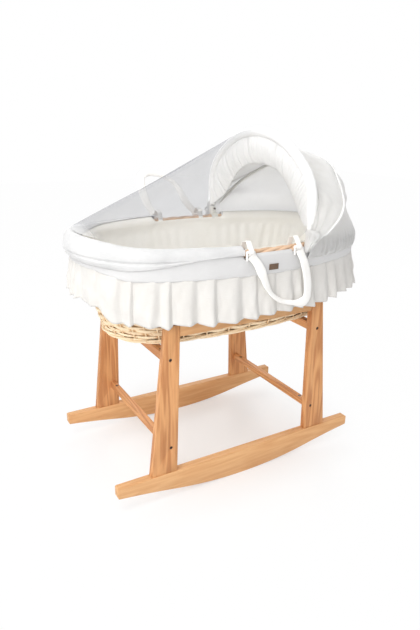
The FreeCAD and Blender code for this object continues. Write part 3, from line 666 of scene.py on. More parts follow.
def netting(name, colour, cover):
    """Fine insect net: crossing threads that cover a share of it, closer where the cloth is bunched, on the
    far side, where it is drawn together, and at the tip of the foot, where it is gathered into its hem. At
    that tip its colour is also lifted to a light grey: painted light over the shaded inside of the hem behind
    it."""
    look = material(name)
    ahead, side, _ = look.split(look.place())
    # At the foot's tip the net is gathered and denser, and its colour is lifted to light grey: painted light
    # over the shaded hem.
    gathered = look.between(ahead * -1.0, 0.334, 0.374)
    u, v, _ = look.split(look.cut())
    mesh = look.threads(u, 0.0016) * look.threads(v, 0.0016)
    bunch = look.noise(look.place(), 9.0, 3.0)
    closer = look.between(side, -0.06, 0.10) * cover * 0.95 + cover * 0.30 + bunch * 0.10 + mesh * 0.03
    loose = look.mix(bunch, colour, tinted(colour, 0.93, 0.93, 0.95))
    return look.done(Base_Color=look.mix(gathered, loose, (0.72, 0.72, 0.72, 1)),
                     Roughness=0.75 + mesh * 0.1, Alpha=closer + gathered * 0.4, Specular_IOR_Level=0.15)


def sizes():
    return bpy.context.scene.moses_sizes


def finish(name):
    """The finish of that name, made at its first use."""
    if name in bpy.data.materials:
        return bpy.data.materials[name]
    colours = bpy.context.scene.moses_colours
    makers = {
        "wood_lengthwise": (wood, (0.07, 1.0, 1.0), colours.rocker_light, colours.rocker_dark, 0.12),
        "wood_upright": (wood, (1.0, 1.0, 0.07), colours.leg_light, colours.leg_dark, 0.34),
        "wood_crosswise": (wood, (1.0, 0.07, 1.0), colours.leg_light, colours.leg_dark, 0.34),
        "dowel_beech": (wood, (1.0, 1.0, 0.1), colours.rocker_light, colours.rocker_dark, 0.12),
        "brown_steel": (steel, colours.steel_and_hole_shade),
        "white_plastic": (plastic, colours.plastic_white),
        "willow_rods": (willow, colours.wicker_light, colours.wicker_dark_and_shade),
        "border_willow": (willow, colours.border_light, colours.border_dark),
        "band_cotton": (cotton, colours.band_white, colours.band_shade),
        "hem_cotton": (cotton, colours.hem_white, colours.band_white),
        "frill_cotton": (cotton, colours.frill_cream, colours.frill_shade),
        "lining_cotton": (cotton, colours.lining_cream, colours.lining_shade),
        "hood_cotton": (cotton, colours.hood_white_painted_shade, colours.hood_shade, 0.8),
        "brim_cotton": (cotton, colours.brim_white_painted_light, colours.brim_shade, 0.2),
        "strap_cotton": (webbing, colours.strap_white, colours.strap_shade),
        "brown_leather": (leather, colours.label_brown, colours.label_dark),
        "insect_net": (netting, colours.net_white_painted_shade, sizes().net_cover),
    }
    maker, *settings = makers[name]
    return maker(name, *settings)


# Sizes and colours


def length(name, value, text):
    return bpy.props.FloatProperty(name=name, description=text, default=value, unit="LENGTH", min=0.0)


def number(name, value, text):
    return bpy.props.IntProperty(name=name, description=text, default=value, min=8)


def share_of(name, value, text):
    return bpy.props.FloatProperty(name=name, description=text, default=value, subtype="FACTOR",
                                   min=0.0, max=1.0)


def shade(name, red, green, blue, text):
    colour = (red, green, blue, 1.0)
    return bpy.props.FloatVectorProperty(name=name, description=text, default=colour, size=4, subtype="COLOR",
                                         min=0.0, max=1.0)


class MosesSizes(bpy.types.PropertyGroup):
    board_edge: length("Board edge", 0.0016, "Rounding of the boards' edges")
    row_pitch: length("Row pitch", 0.0086, "Height of one woven row")
    rod_half: length("Rod half height", 0.0046, "Half the height of a woven rod")
    stakes: number("Stakes", 54, "Upright stakes round the wall")
    pleats: number("Pleats", 48, "Pleats round the frill")
    pleat_depth: length("Pleat depth", 0.0125, "Depth of a pleat at the hem")
    cloth: length("Cloth", 0.0014, "Thickness of the sewn cloth")
    strap_half: length("Strap half width", 0.0125, "Half the width of a carrying strap")
    gathers: number("Gathers", 48, "Gathers round the brim")
    net_cover: share_of("Net cover", 0.26, "Share of the net that is thread")


class MosesColours(bpy.types.PropertyGroup):
    leg_light: shade("Leg light", 0.76, 0.39, 0.165, "Light streaks of the legs")
    leg_dark: shade("Leg dark", 0.50, 0.205, 0.075, "Dark streaks of the legs")
    rocker_light: shade("Rocker light", 0.82, 0.50, 0.245, "Light streaks of rockers and rails")
    rocker_dark: shade("Rocker dark", 0.63, 0.31, 0.125, "Dark streaks of rockers and rails")
    wicker_light: shade("Wicker light", 1.0, 0.835, 0.585, "Light willow rods")
    # The dark end also paints shade: where rods pass behind the stakes, and on the shell behind the wall.
    wicker_dark_and_shade: shade("Wicker dark", 0.64, 0.38, 0.18, "Dark willow rods")
    border_light: shade("Border light", 0.84, 0.60, 0.42, "Light rods of the border")
    border_dark: shade("Border dark", 0.62, 0.40, 0.25, "Dark rods of the border")
    band_white: shade("Band white", 0.71, 0.706, 0.70, "Cloth of the skirt band")
    band_shade: shade("Band shade", 0.67, 0.666, 0.66, "Uneven tone of the band")
    hem_white: shade("Hem white", 0.585, 0.585, 0.582, "Cloth of the rim and the net's hem")
    frill_cream: shade("Frill cream", 0.72, 0.706, 0.675, "Cloth of the frill")
    frill_shade: shade("Frill shade", 0.68, 0.657, 0.62, "Uneven tone of the frill")
    lining_cream: shade("Lining cream", 0.97, 0.95, 0.90, "Cloth of lining and mattress")
    lining_shade: shade("Lining shade", 0.93, 0.905, 0.845, "Uneven tone of the lining")
    # One hood cloth in two copies: darker for the panel and tail, painted shade, and lighter for the brim and
    # front roll, painted light.
    hood_white_painted_shade: shade("Hood white", 0.88, 0.868, 0.835, "Cloth of the hood")
    hood_shade: shade("Hood shade", 0.85, 0.837, 0.80, "Uneven tone of the hood")
    brim_white_painted_light: shade("Brim white", 0.96, 0.955, 0.94, "Cloth of the brim and the front roll")
    brim_shade: shade("Brim shade", 0.93, 0.925, 0.905, "Uneven tone of the brim")
    strap_white: shade("Strap white", 0.98, 0.97, 0.945, "Cloth of the straps")
    strap_shade: shade("Strap shade", 0.93, 0.91, 0.87, "Uneven tone of the straps")
    label_brown: shade("Label brown", 0.20, 0.125, 0.08, "Leather of the label")
    label_dark: shade("Label dark", 0.11, 0.065, 0.04, "Worn tone of the label")
    # Grey-blue in place of white thread: the net's colour carries painted shade.
    net_white_painted_shade: shade("Net white", 0.42, 0.425, 0.45, "Threads of the net")
    # Dark brown that also paints the shade of the recessed bolt holes.
    steel_and_hole_shade: shade("Steel brown", 0.20, 0.155, 0.13, "Bolts, nuts and pins")
    plastic_white: shade("Plastic white", 0.80, 0.80, 0.78, "Clips of the hood")


# Pieces of the stand


class MOSES_OT_stand(bpy.types.Operator):
    """Boards of the stand with rounded edges and grain along each board"""

    bl_idname = "moses.stand"
    bl_label = "Stand boards"

    def execute(self, context):
        for look, nodes in BOARDS.items():
            for node in nodes:
                board = put(node + "_board", whole_board(node), look, "stand_wood", "stand", node)
                edge = board.modifiers.new("rounded", "BEVEL")
                edge.width = sizes().board_edge
                edge.segments = 2
                edge.limit_method = "ANGLE"
                edge.angle_limit = math.radians(40)
                edge.harden_normals = True
        return {"FINISHED"}


class MOSES_OT_hardware(bpy.types.Operator):
    """Finishes of the bolts, nuts, dowels, pins and clips, whose CAD shapes are kept"""

    bl_idname = "moses.hardware"
    bl_label = "Hardware"

    def execute(self, context):
        for look, nodes in HARDWARE.items():
            for node in nodes:
                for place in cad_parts[node].material_slots:
                    place.material = finish(look)
        return {"FINISHED"}


# Wicker


def woven_rods(rng):
    """Rows of rods that pass before and behind the stakes by turns: a cosine of the way round moves each rod
    out and in, and slow sines make its height and thickness uneven. Each row gets a random tone, plus painted
    shade where a rod passes behind a stake, stronger in patches."""
    size = sizes()
    rows = int((WALL_HEIGHT - 0.012) / size.row_pitch)
    row = np.arange(rows)[:, None, None]
    share = shares(size.stakes * 8)[None, :, None]
    around = angles(8)

    def slow(turns, shift):
        return np.sin(2 * np.pi * (share * turns + row * shift))

    weave = np.cos(np.pi * (size.stakes * share + row))
    height = 0.011 + row * size.row_pitch + 0.0010 * slow(5, 0.37) + 0.0007 * slow(23, 0.61)
    thick = 1 + 0.14 * slow(3, 0.29) + rng.uniform(-0.1, 0.1, (rows, 1, 1))
    tall = size.rod_half * thick * (1 - 0.12 * smooth(-weave, 0.35, 1.0)) * np.sin(around)
    out = -0.0035 + 0.0019 * bent(weave, 0.7) + 0.0024 * thick * np.cos(around)
    # The tone darkens where a rod passes behind a stake, stronger in patches: painted shade in the recesses.
    patchy = 0.4 + 0.6 * smooth(np.sin(share * 91 + row * 1.7), -0.5, 0.6)
    tone = rng.uniform(0, 0.5, (rows, 1, 1)) + 1.1 * smooth(-weave, 0.45, 1.0) * patchy
    return tube(wall(share, (height + tall) / WALL_HEIGHT, out), tone)


def upright_stakes(rng):
    """Round stakes that lean with the wall, from its foot to its top."""
    count = sizes().stakes
    around = angles(8)
    share = shares(count)[:, None, None] - 0.0024 * np.sin(around) / WALL_ROUND
    rise = np.linspace(0.0, 0.99, 9)[None, :, None]
    return roll(wall(share, rise, -0.003 + 0.0022 * np.cos(around)), rng.uniform(0.2, 1, count))


def painted_shade_shell():
    """A dark shell behind the wall's rods: painted shade that fills the gaps between them."""
    behind = np.array([[0.03, -0.0062], [0.97, -0.0062], [0.97, -0.0076], [0.03, -0.0076]])
    share = shares(sizes().stakes * 6)[:, None]
    # Tone 1.3 is the darkest willow colour: painted shade between the rods.
    return tube(wall(share, behind[:, 0], behind[:, 1]), 1.3)


def foot_rods():
    """Three rods twisted round the foot of the wall."""
    share = shares(sizes().stakes * 6)
    rods = strands(BASE, share, turns=8, count=3, lay=0.0034, rod=0.0031, inset=-0.003, height=0.4078)
    return tube(rods, [0.1, 0.3, 0.2])


def woven_base():
    """The base: rings out along its underside and back along its top, lifted and lowered by turns where they
    cross the ribs."""
    ribs, rings = 96, 23
    share = shares(ribs * 3)[:, None]
    outward = np.linspace(0, 1, rings)
    inward = np.concatenate([outward, outward[::-1]])[None, :]
    level = np.repeat([0.4022, 0.4072], rings)[None, :]
    weave = 0.0009 * np.cos(np.pi * (ribs * share + np.arange(2 * rings))) * (inward > 0)
    return pad(BASE, share, inward, level + weave)


def border_rope():
    """Four rods twisted into the rope of the border."""
    share = shares(720)
    rods = strands(BORDER, share, turns=12, count=4, lay=0.0050, rod=0.0056, inset=0.0, height=BORDER_Z)
    return tube(rods, [0.2, 0.6, 0.4, 0.8])


class MOSES_OT_wicker(bpy.types.Operator):
    """Woven wall with its stakes, a dark shell of painted shade behind them, the twisted rods at its foot,
    the woven base and the roped border"""

    bl_idname = "moses.wicker"
    bl_label = "Wicker"

    def execute(self, context):
        rng = np.random.default_rng(3)
        tub = {
            "woven_wall": woven_rods(rng),
            "stakes_foot_rods_and_shade_shell": joined([upright_stakes(rng), foot_rods(), painted_shade_shell()]),
            "woven_base": woven_base(),
        }
        for name, mesh in tub.items():
            put(name, mesh, "willow_rods", "wicker", "basket", "wicker_tub")
        put("border_rope", border_rope(), "border_willow", "wicker", "basket", "wicker_border")
        return {"FINISHED"}


# Cloth of the basket


def rim_places(share):
    """How much a place on the rim lies under a padded cover, at a strap loop, at the foot end and at its
    tip, each from 0 to 1."""
    at, facing = oval(BORDER, share)
    x = at[..., 0]
    ahead = -facing[..., 0]
    cover = np.maximum(smooth(-x, 0.062, 0.078), smooth(x, 0.166, 0.182))
    loop = np.maximum(*[bell(x, middle, 0.013, 4) for middle in LOOP_X])
    return cover, loop, smooth(ahead, 0.1, 0.85), smooth(ahead, 0.60, 1.0)


class MOSES_OT_lining(bpy.types.Operator):
    """Lining: a sheet from the rim's crest down the inside of the wall and in under the mattress, with soft
    upright gathers"""

    bl_idname = "moses.lining"
    bl_label = "Lining"

    def execute(self, context):
        share = shares(540)[:, None]
        cover, _, foot, _ = rim_places(share)
        top = 165 - 68 * cover + 42 * foot
        angle = np.radians(top + (205 - top) * np.linspace(0, 1, 12))
        radius = 0.0152 + 0.0030 * cover
        crest = ring(BORDER, share, radius * np.cos(angle), BORDER_Z + radius * np.sin(angle))

        insets = [0.0140, 0.0102, 0.0100, 0.0100, 0.0100, 0.0100, 0.0103, 0.0125, 0.0190, 0.0320, 0.0800]
        heights = [0.6170, 0.6060, 0.5800, 0.5450, 0.5000, 0.4500, 0.4260, 0.4160, 0.4120, 0.4118, 0.4118]
        down = np.linspace(0, 1, 34)[None, :]
        marks = np.linspace(0, 1, len(insets))
        rise = (np.interp(down, marks, heights) - BASE_Z) / WALL_HEIGHT
        gathers = 0.0022 + 0.0022 * np.clip(ripple(share, down, 21, (34, 70), 9, 1.2), -1, 1.3)
        patchy = 0.25 + 0.75 * smooth(ripple(share, 0, 22, (1, 4), 4, 0), -0.5, 0.9)
        fold = gathers * patchy * smooth(down, 0.0, 0.10) * (1 - smooth(down, 0.55, 0.78))
        wander = 1 + np.clip(ripple(share, down, 23, (3, 9), 6), -1, 1)
        wander = 0.0014 * wander * (1 - smooth(down, 0.6, 0.8))
        points = wall(share, rise, -np.interp(down, marks, insets) - fold - wander)
        mesh = surface(np.concatenate([crest, points], 1), round_u=True)
        piece = put("lining_cloth", mesh, "lining_cotton", "lining_cloth", "basket", "lining")
        cloth_thick(piece, 0.0009)
        return {"FINISHED"}


class MOSES_OT_mattress(bpy.types.Operator):
    """Mattress: a filled pad with a round edge and sewn channels across it"""

    bl_idname = "moses.mattress"
    bl_label = "Mattress"

    def execute(self, context):
        middle_z, half_height, lowest_z = 0.4286, 0.0168, 0.4122
        channel = 0.09
        angle = np.linspace(-np.pi / 2, np.pi / 2, 41)[None, :]
        inward = np.abs(np.cos(angle)) ** 0.42
        height = middle_z + half_height * bent(np.sin(angle), 0.62)
        mesh = pad(MATTRESS, shares(220)[:, None], inward, height)
        piece = put("mattress_pad", mesh, "lining_cotton", "lining_cloth", None, "mattress")
        moved = puffed(piece, cell=0.006, pressure=4.0, most=0.004)
        moved[:, 2] = np.clip(moved[:, 2], lowest_z, None)
        write_points(piece.data, moved)
        points = read_points(piece.data)
        from_seam = np.abs((points[:, 0] - BASKET_X + channel / 2) % channel - channel / 2)
        points[:, 2] -= 0.005 * bell(from_seam, 0, 0.007) * smooth(points[:, 2], 0.435, 0.444)
        write_points(piece.data, points)
        piece.data.polygons.foreach_set("use_smooth", np.ones(len(piece.data.polygons), bool))
        piece.data.update()
        if not piece.data.materials:
            piece.data.materials.append(finish("lining_cotton"))
        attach(piece, "basket")
        return {"FINISHED"}


def rim_section(share, seed):
    """A padded cover's section round the border, for each share of the way: an outer arc that is puckered,
    and an inner arc back."""
    inner, outer = 0.0122, 0.0172
    low, high = np.radians([-45, 225])
    angle = np.linspace(low, high, 22)[None, :]
    back = np.linspace(high, low, 9)[None, 1:-1]
    lumps = 0.0003 * ripple(share, angle / 6, seed, (4, 12), 7)
    puckers = 0.00012 * ripple(share, angle / 3, seed + 1, (30, 60), 8)
    radius = inner + (outer - inner + lumps + puckers) * hump(np.linspace(0, 1, 22), 0.4)
    measure = np.concatenate([radius, np.full((len(share), back.size), inner)], 1)
    turn = np.concatenate([angle, back], 1)
    return measure * np.cos(turn), measure * np.sin(turn)


class MOSES_OT_rim_pads(bpy.types.Operator):
    """Padded covers round the border at the foot and at the head"""

    bl_idname = "moses.rim_pads"
    bl_label = "Rim pads"

    def execute(self, context):
        for node, seed in (("rim_pad_foot", 31), ("rim_pad_head", 41)):
            near, far = border_shares(PAD_X[node])
            span = (far, near + 1) if node == "rim_pad_foot" else (near, far)
            share = np.linspace(*span, 330)[:, None]
            grow, rise = rim_section(share, seed)
            mesh = roll(ring(BORDER, share, grow, BORDER_Z + rise))
            piece = put(node + "_cover", mesh, "hem_cotton", "band_cloth", "basket", node)
        return {"FINISHED"}


class MOSES_OT_net_hem(bpy.types.Operator):
    """Padded hem of the net: a roll over the rim and down outside it, fullest at the foot, its lower edge
    sweeping up to the straps"""

    bl_idname = "moses.net_hem"
    bl_label = "Net hem"

    def execute(self, context):
        near, far = border_shares(-0.053)
        share = np.linspace(far, near + 1, 360)[:, None]
        x = oval(BORDER, share)[0][..., 0]
        _, _, foot, tip = rim_places(share)
        sweep = np.clip((x + 0.300) / 0.245, 0, 1) ** 1.12
        lower = 0.6085 + 0.003 * tip + 0.041 * sweep + 0.0008 * ripple(share, 0, 53, (4, 9), 5)
        steps = np.linspace(0, 1, 30)[None, :]
        bend = np.radians(108 + 40 * foot) * np.clip(1 - steps / 0.5, 0, 1)
        fall = np.clip((steps - 0.5) / 0.5, 0, 1)

        end = smooth(np.minimum(share - far, near + 1 - share), 0.0, 0.045)
        lumps = 0.0006 * ripple(share, steps, 51, (4, 11), 8)
        puckers = 0.00015 * ripple(share, steps, 52, (40, 70), 8, 5.0)
        crease_line = 0.30 + 0.06 * ripple(share, 0, 54, (1, 4), 4)
        crease = 0.0034 * bell(fall, crease_line, 0.13) * smooth(fall, 0.0, 0.2) * smooth(-x, 0.14, 0.24)
        plump = 0.0036 * hump(np.clip(steps, 0.02, 1), 0.5) * (0.35 + 0.65 * end)
        full = (0.35 * foot + 0.65 * tip) * (1 - smooth(fall, 0.0, 1.0)) * (1 - smooth(bend, 1.2, 2.5))
        tuck = 0.0036 * tip * smooth(fall, 0.65, 1.0)
        radius = 0.0196 + plump + (lumps + puckers) * end - crease - tuck
        radius = radius + 0.0050 * full + 0.0010 * smooth(fall, 0.0, 0.4)
        crest = BORDER_Z + 0.011 * (0.15 * foot + 0.85 * tip) * bell(bend, 1.2, 0.85)
        height = np.where(fall > 0, crest - (crest - lower) * fall, crest + radius * np.sin(bend))
        outer = np.stack([radius * np.cos(bend), height], -1)

        thin = 0.0192 + 0.0006 * fall - tuck
        back = np.where(fall > 0, height + 0.0012 * smooth(fall, 0.8, 1), BORDER_Z + thin * np.sin(bend))
        inner = np.stack([thin * np.cos(bend), back], -1)[:, ::-1]
        section = np.concatenate([outer, inner[:, 1:-1]], 1)[:, ::-1]
        mesh = roll(ring(BORDER, share, section[..., 0], section[..., 1]))
        piece = put("net_hem_roll", mesh, "hem_cotton", "band_cloth", "basket", "net_hem")
        return {"FINISHED"}


class MOSES_OT_skirt_band(bpy.types.Operator):
    """Plain band of the skirt: a closed strip round the basket whose top laps the padded rim, stands by the
    bare border and dips at the strap loops, and whose foot is drawn up and in at the tip"""

    bl_idname = "moses.skirt_band"
    bl_label = "Skirt band"

    def execute(self, context):
        share = shares(720)[:, None]
        # Out from the border's line and up from the floor, in millimetres
        under = [(15.0, 582.8), (16.8, 583.2), (17.7, 587.0), (18.2, 594.0), (18.4, 603.0), (18.5, 612.0),
                 (18.5, 620.0)]
        inside = [(16.0, 625.8), (13.4, 621.0), (12.6, 617.0), (12.3, 605.0), (12.3, 590.0), (13.0, 583.6)]
        by_cover = [(18.7, 633.0), (17.2, 643.5), (16.4, 643.0), (17.8, 632.6)]
        by_loop = [(18.2, 621.5), (17.2, 623.6), (15.9, 623.6), (15.6, 623.0)]
        by_bare = [(18.1, 630.0), (16.6, 639.0), (15.7, 638.6), (16.9, 630.2)]
        cover, loop, _, tip = rim_places(share)
        loop = loop * (1 - cover)
        section = 0.0
        for weight, top in ((cover, by_cover), (1 - cover - loop, by_bare), (loop, by_loop)):
            section = section + weight[..., None] * np.array(under + top + inside) * 0.001
        low = np.clip((0.620 - section[..., 1]) / 0.037, 0, 1)
        place = np.linspace(0, 1, section.shape[1])[None, :]
        outside = np.array([0.2, 0.7, 1, 1, 1, 1, 1, 0.5, 0.2] + [0] * 8)
        soft = 0.0005 * ripple(share, place, 61, (5, 14), 8) + 0.00025 * ripple(share, place, 62, (24, 50), 8)
        grow = section[..., 0] - 0.0050 * tip * smooth(low, 0.0, 0.25) + soft * outside
        mesh = tube(ring(BORDER, share, grow, section[..., 1] + FOOT_RISE * tip * low))
        piece = put("skirt_band_cloth", mesh, "band_cotton", "band_cloth", "basket", "skirt_band")
        return {"FINISHED"}


class MOSES_OT_frill(bpy.types.Operator):
    """Pleated frill: soft pleats sewn flat at the seam that open into rounded waves towards the hem, hanging
    straighter at the foot"""

    bl_idname = "moses.frill"
    bl_label = "Frill"

    def execute(self, context):
        size = sizes()
        rng = np.random.default_rng(71)
        each = (size.pleats, 1, 1)
        fine, rows = 24, 24
        seam_depth = 0.0024
        local = shares(fine)[None, :, None]
        down = np.linspace(0, 1, rows)[None, None, :]
        deep = rng.uniform(0.75, 1.2, each)
        edges = np.concatenate([[0], np.cumsum(rng.uniform(0.55, 1.45, size.pleats))])
        edges = edges / edges[-1]
        turn = 0.64 + rng.uniform(-0.08, 0.08, each)
        climb = np.clip(local / turn, 0, 1)
        back = np.clip((local - turn) / (1 - turn), 0, 1)
        over = 0.12 - 0.12 * smooth(down, 0.0, 0.6)
        across = climb * (turn + over) + back * (1 - turn - over)
        share = edges[:-1].reshape(each) + np.diff(edges).reshape(each) * across

        at, facing = oval(BORDER, share)
        x = at[..., 0]
        ahead = -facing[..., 0]
        tip = rim_places(share)[3]
        foot = smooth(ahead, 0.2, 0.8)
        head = smooth(-ahead, 0.35, 0.85)
        short = smooth(ahead, 0.70, 0.96)
        out = smooth(climb, -0.2, 1.0) * (0.5 + 0.5 * np.cos(np.pi * back))
        depth = (seam_depth + (size.pleat_depth - seam_depth) * smooth(down, -0.3, 0.9)) * deep
        spread = (0.0148 - 0.0138 * foot - 0.0050 * head) * down**1.1
        sway = 0.0022 * ripple(share, down, 72, (7, 19), 6) + 0.0010 * ripple(share, down, 73, (60, 130), 8)
        grow = 0.0132 - 0.0050 * tip * (1 - down) + spread + depth * out * (1 - 0.2 * foot) + sway * down
        lift = 0.031 * short - 0.007 * (1 - short) * (1 - smooth(x, -0.08, 0.10))
        lift = lift + 0.006 * smooth(x, 0.15, 0.35)
        hem = 0.4895 + rng.uniform(-0.003, 0.003, each) - 0.0050 * climb * (1 - back) + lift
        seam = 0.5850 + FOOT_RISE * tip
        points = ring(BORDER, share, grow, seam + (hem - seam) * down).reshape(-1, rows, 3)
        mesh = surface(points[:, ::-1], round_u=True)
        piece = put("frill_cloth", mesh, "frill_cotton", "frill_cloth", "basket", "frill")
        cloth_thick(piece, size.cloth)
        return {"FINISHED"}


def stitches(low, high):
    """Short threads, thinner towards their ends, along the four edges of a patch between two shares of the
    border's length."""
    half_length, thread = 0.0013, 0.00045
    corners = np.array([(0.06, 0.5955), (0.94, 0.5955), (0.94, 0.6075), (0.06, 0.6075)])
    along = np.linspace(-1, 1, 5)[:, None]
    thin = np.sqrt(np.clip(1.02 - along**2, 0, 1)) * thread
    around = angles(5)
    lying = np.broadcast_to(along * half_length, (5, 5)), thin * np.cos(around)
    made = []
    for edge, count in enumerate((7, 4, 7, 4)):
        go, rise = lying if edge % 2 == 0 else lying[::-1]
        for share in (np.arange(count) + 0.5) / count:
            at, up = corners[edge] + (corners[(edge + 1) % 4] - corners[edge]) * share
            way = low + (high - low) * at + go / BORDER_ROUND
            made.append(ring(BORDER, way, 0.0206 + thin * np.sin(around), up + rise))
    return roll(np.stack(made))


class MOSES_OT_label(bpy.types.Operator):
    """Bare brown label on the near side of the band, with a line of stitches"""

    bl_idname = "moses.label"
    bl_label = "Label"

    def execute(self, context):
        low, high = border_shares(0.015)[0], border_shares(0.041)[0]
        share = np.linspace(low, high, 18)[:, None]
        height = np.linspace(0.5945, 0.6085, 12)[None, :]
        bow = 0.0006 * hump((share - low) / (high - low))
        mesh = surface(ring(BORDER, share, 0.0195 + bow, height))
        piece = put("label_patch", mesh, "brown_leather", "label_leather", "basket", "label")
        cloth_thick(piece, 0.0012)
        put("label_stitches", stitches(low, high), "brown_leather", "label_leather", "basket")
        return {"FINISHED"}


# Straps


def strap_path(count, lean):
    """Along and down of a carrying strap's middle line: a hanging loop that leans to one side."""
    across = np.array([-70, -51, -38, -28, -13, 12, 44, 75, 93, 97, 89, 73.5]) * 0.001
    depth = np.array([7.8, 31, 58, 85, 109, 127, 136, 140, 127, 88, 44, 7.8]) * 0.001
    return line_through(np.stack([across, depth], -1), np.linspace(0, 1, count)) * [lean, 1]


def strap_body(axis, right, down, lean):
    """The strap's webbing: a flat rounded section carried along its path, narrowed and twisted in its first
    half and a little uneven."""
    count = 150
    face = np.cross(right, down)
    line = strap_path(count, lean)
    ahead = unit(np.gradient(line, axis=0))
    broad = np.cross(ahead[:, :1] * right + ahead[:, 1:] * down, face)
    t = np.linspace(0, 1, count)[:, None]
    first = smooth(t, 0.12, 0.42) * (1 - smooth(t, 0.55, 0.66))
    second = smooth(t, 0.6, 0.8) * (1 - smooth(t, 0.85, 0.97))
    twist = 0.42 * first - 0.14 * second
    turned = broad * np.cos(twist) + face * np.sin(twist)
    thick = face * np.cos(twist) - broad * np.sin(twist)
    pinched = smooth(t, 0.13, 0.38) * (1 - smooth(t, 0.54, 0.66))
    narrow = (0.86 + 0.14 * smooth(to_end(t), 0.02, 0.15)) * (1 - 0.50 * pinched)
    section = round_section(16, sizes().strap_half, 0.0029, 3.2) * np.stack([narrow, np.ones_like(t)], -1)
    section = section * (1 + 0.05 * ripple(t, 0, 81, (4, 11), 6))[..., None]
    return roll(carried(axis + line[:, :1] * right + line[:, 1:] * down, thick, turned, section[..., ::-1]))


def strap_ends(axis, right, down, lean):
    """The strap's ends: a roll that turns in its loop, and a cheek on either side of the loop."""
    face = np.cross(right, down)
    x = np.linspace(-0.0125, 0.0125, 9)[:, None]
    fat = 0.0038 * np.clip(1.15 - (x / 0.0128) ** 8, 0.35, 1)
    drop = np.linspace(0.0, 0.020, 8)[:, None]
    cheek_section = round_section(12, 0.0020, 0.0027, 3.0)[:, ::-1]
    rolls = []
    cheeks = []
    for end in (-STRAP_END, STRAP_END):
        place = axis + right * end * lean
        rolls.append(carried(place + x * right, face, down, fat[..., None] * round_section(12, 1.0, 1.0)))
        for cheek in (-0.0107, 0.0107):
            cheeks.append(carried(place + cheek * right + drop * down, face, right, cheek_section))
    return [roll(np.stack(rolls)), roll(np.stack(cheeks))]


class MOSES_OT_straps(bpy.types.Operator):
    """Two soft carrying straps, each a loop of webbing whose ends turn in the loops on the border"""

    bl_idname = "moses.straps"
    bl_label = "Carrying straps"

    def execute(self, context):
        right = np.array([1.0, 0, 0])
        for node, side, hang, lean in (("handle_near", -1, 9.0, 1), ("handle_far", 1, 155.0, -1)):
            angle = math.radians(hang)
            down = np.array([0, side * math.sin(angle), -math.cos(angle)])
            axis = np.array([BASKET_X, side * STRAP_Y, STRAP_Z])
            mesh = joined([strap_body(axis, right, down, lean), *strap_ends(axis, right, down, lean)])
            piece = put(node + "_strap", mesh, "strap_cotton", "strap_cloth", node, node)
            piece.data.uv_layers.active_index = 0
        return {"FINISHED"}


class MOSES_OT_strap_loops(bpy.types.Operator):
    """Four webbing loops that hold the straps: each is drawn tight round the border, the strap's end and
    two rounds above them"""

    bl_idname = "moses.strap_loops"
    bl_label = "Strap loops"

    def execute(self, context):
        facing = round_section(64, 1.0, 1.0)
        radii = np.array([0.0118, 0.0046, 0.0040, 0.0030])
        section = round_section(12, 0.0012, 0.0074, 3.0) + [0.0013, 0.0]
        loops = []
        for side in (-1, 1):
            for x in LOOP_X:
                y = abs(oval(BORDER, border_shares(x)[0])[0][1])
                rounds = np.array([(y, BORDER_Z), (STRAP_Y, STRAP_Z), (y + 0.009, BORDER_Z + 0.0270),
                                   (y - 0.003, BORDER_Z + 0.0240)])
                furthest = np.argmax(rounds @ facing.T + radii[:, None], axis=0)
                inner = rounds[furthest] + facing * radii[furthest][:, None]
                belt = np.stack([np.full(len(facing), x), inner[:, 0] * side, inner[:, 1]], -1)
                outward = np.stack([np.zeros(len(facing)), facing[:, 0] * side, facing[:, 1]], -1)
                loops.append(carried(belt, outward, [float(side), 0, 0], section))
        put("strap_loops", tube(np.stack(loops)), "strap_cotton", "strap_cloth", "basket", "handle_anchors")
        return {"FINISHED"}


# Hood and net

# The way forward from the rear hoop, square to it
REAR_AHEAD = np.array([-math.cos(REAR_TILT), 0, math.sin(REAR_TILT)])
# Lengths of the panel's and the tail's blends along it, and the share of the panel's behind the hood's axis
PANEL_BLEND = 0.345
TAIL_BLEND = 0.212
PANEL_BEHIND = 0.4919


def flare(up):
    """How far the hood's cloth stands out from its hoops, low down where it is drawn over the rim."""
    up = np.asarray(up)
    return (0.060 - 0.012 * smooth(-up, -0.03, 0.02)) * smooth(-up, -0.215, -0.05)


def seam_line(share, more=0.0):
    """The line where the hood's panel meets its tail: along the rear hoop at the top, standing out over the
    rim low down."""
    across, up = arch(0.2285, 0.2565, 0.118, HOOP_LEG, -0.012, share)
    return hood(across + np.sign(across) * (flare(up) + more), up, REAR_TILT, 0.003)


def casing(path, tilt, fat, deep):
    """A roll of cloth along a hoop: an oval section, puckered by a ripple and thinner towards its ends."""
    t = np.linspace(0, 1, len(path))[:, None]
    angle = angles(20)
    back = np.array([math.cos(tilt), 0, -math.sin(tilt)])
    outward = unit(np.cross(back, unit(np.gradient(path, axis=0))))
    pucker = 1 + 0.025 * ripple(t, angle / 9, 91, (24, 60), 8)
    taper = 0.62 + 0.38 * smooth(to_end(t), 0.0, 0.07)
    section = np.stack([fat * np.cos(angle), deep * np.sin(angle)], -1) * (pucker * taper)[..., None]
    return roll(carried(path, outward, back, section)[:, ::-1])


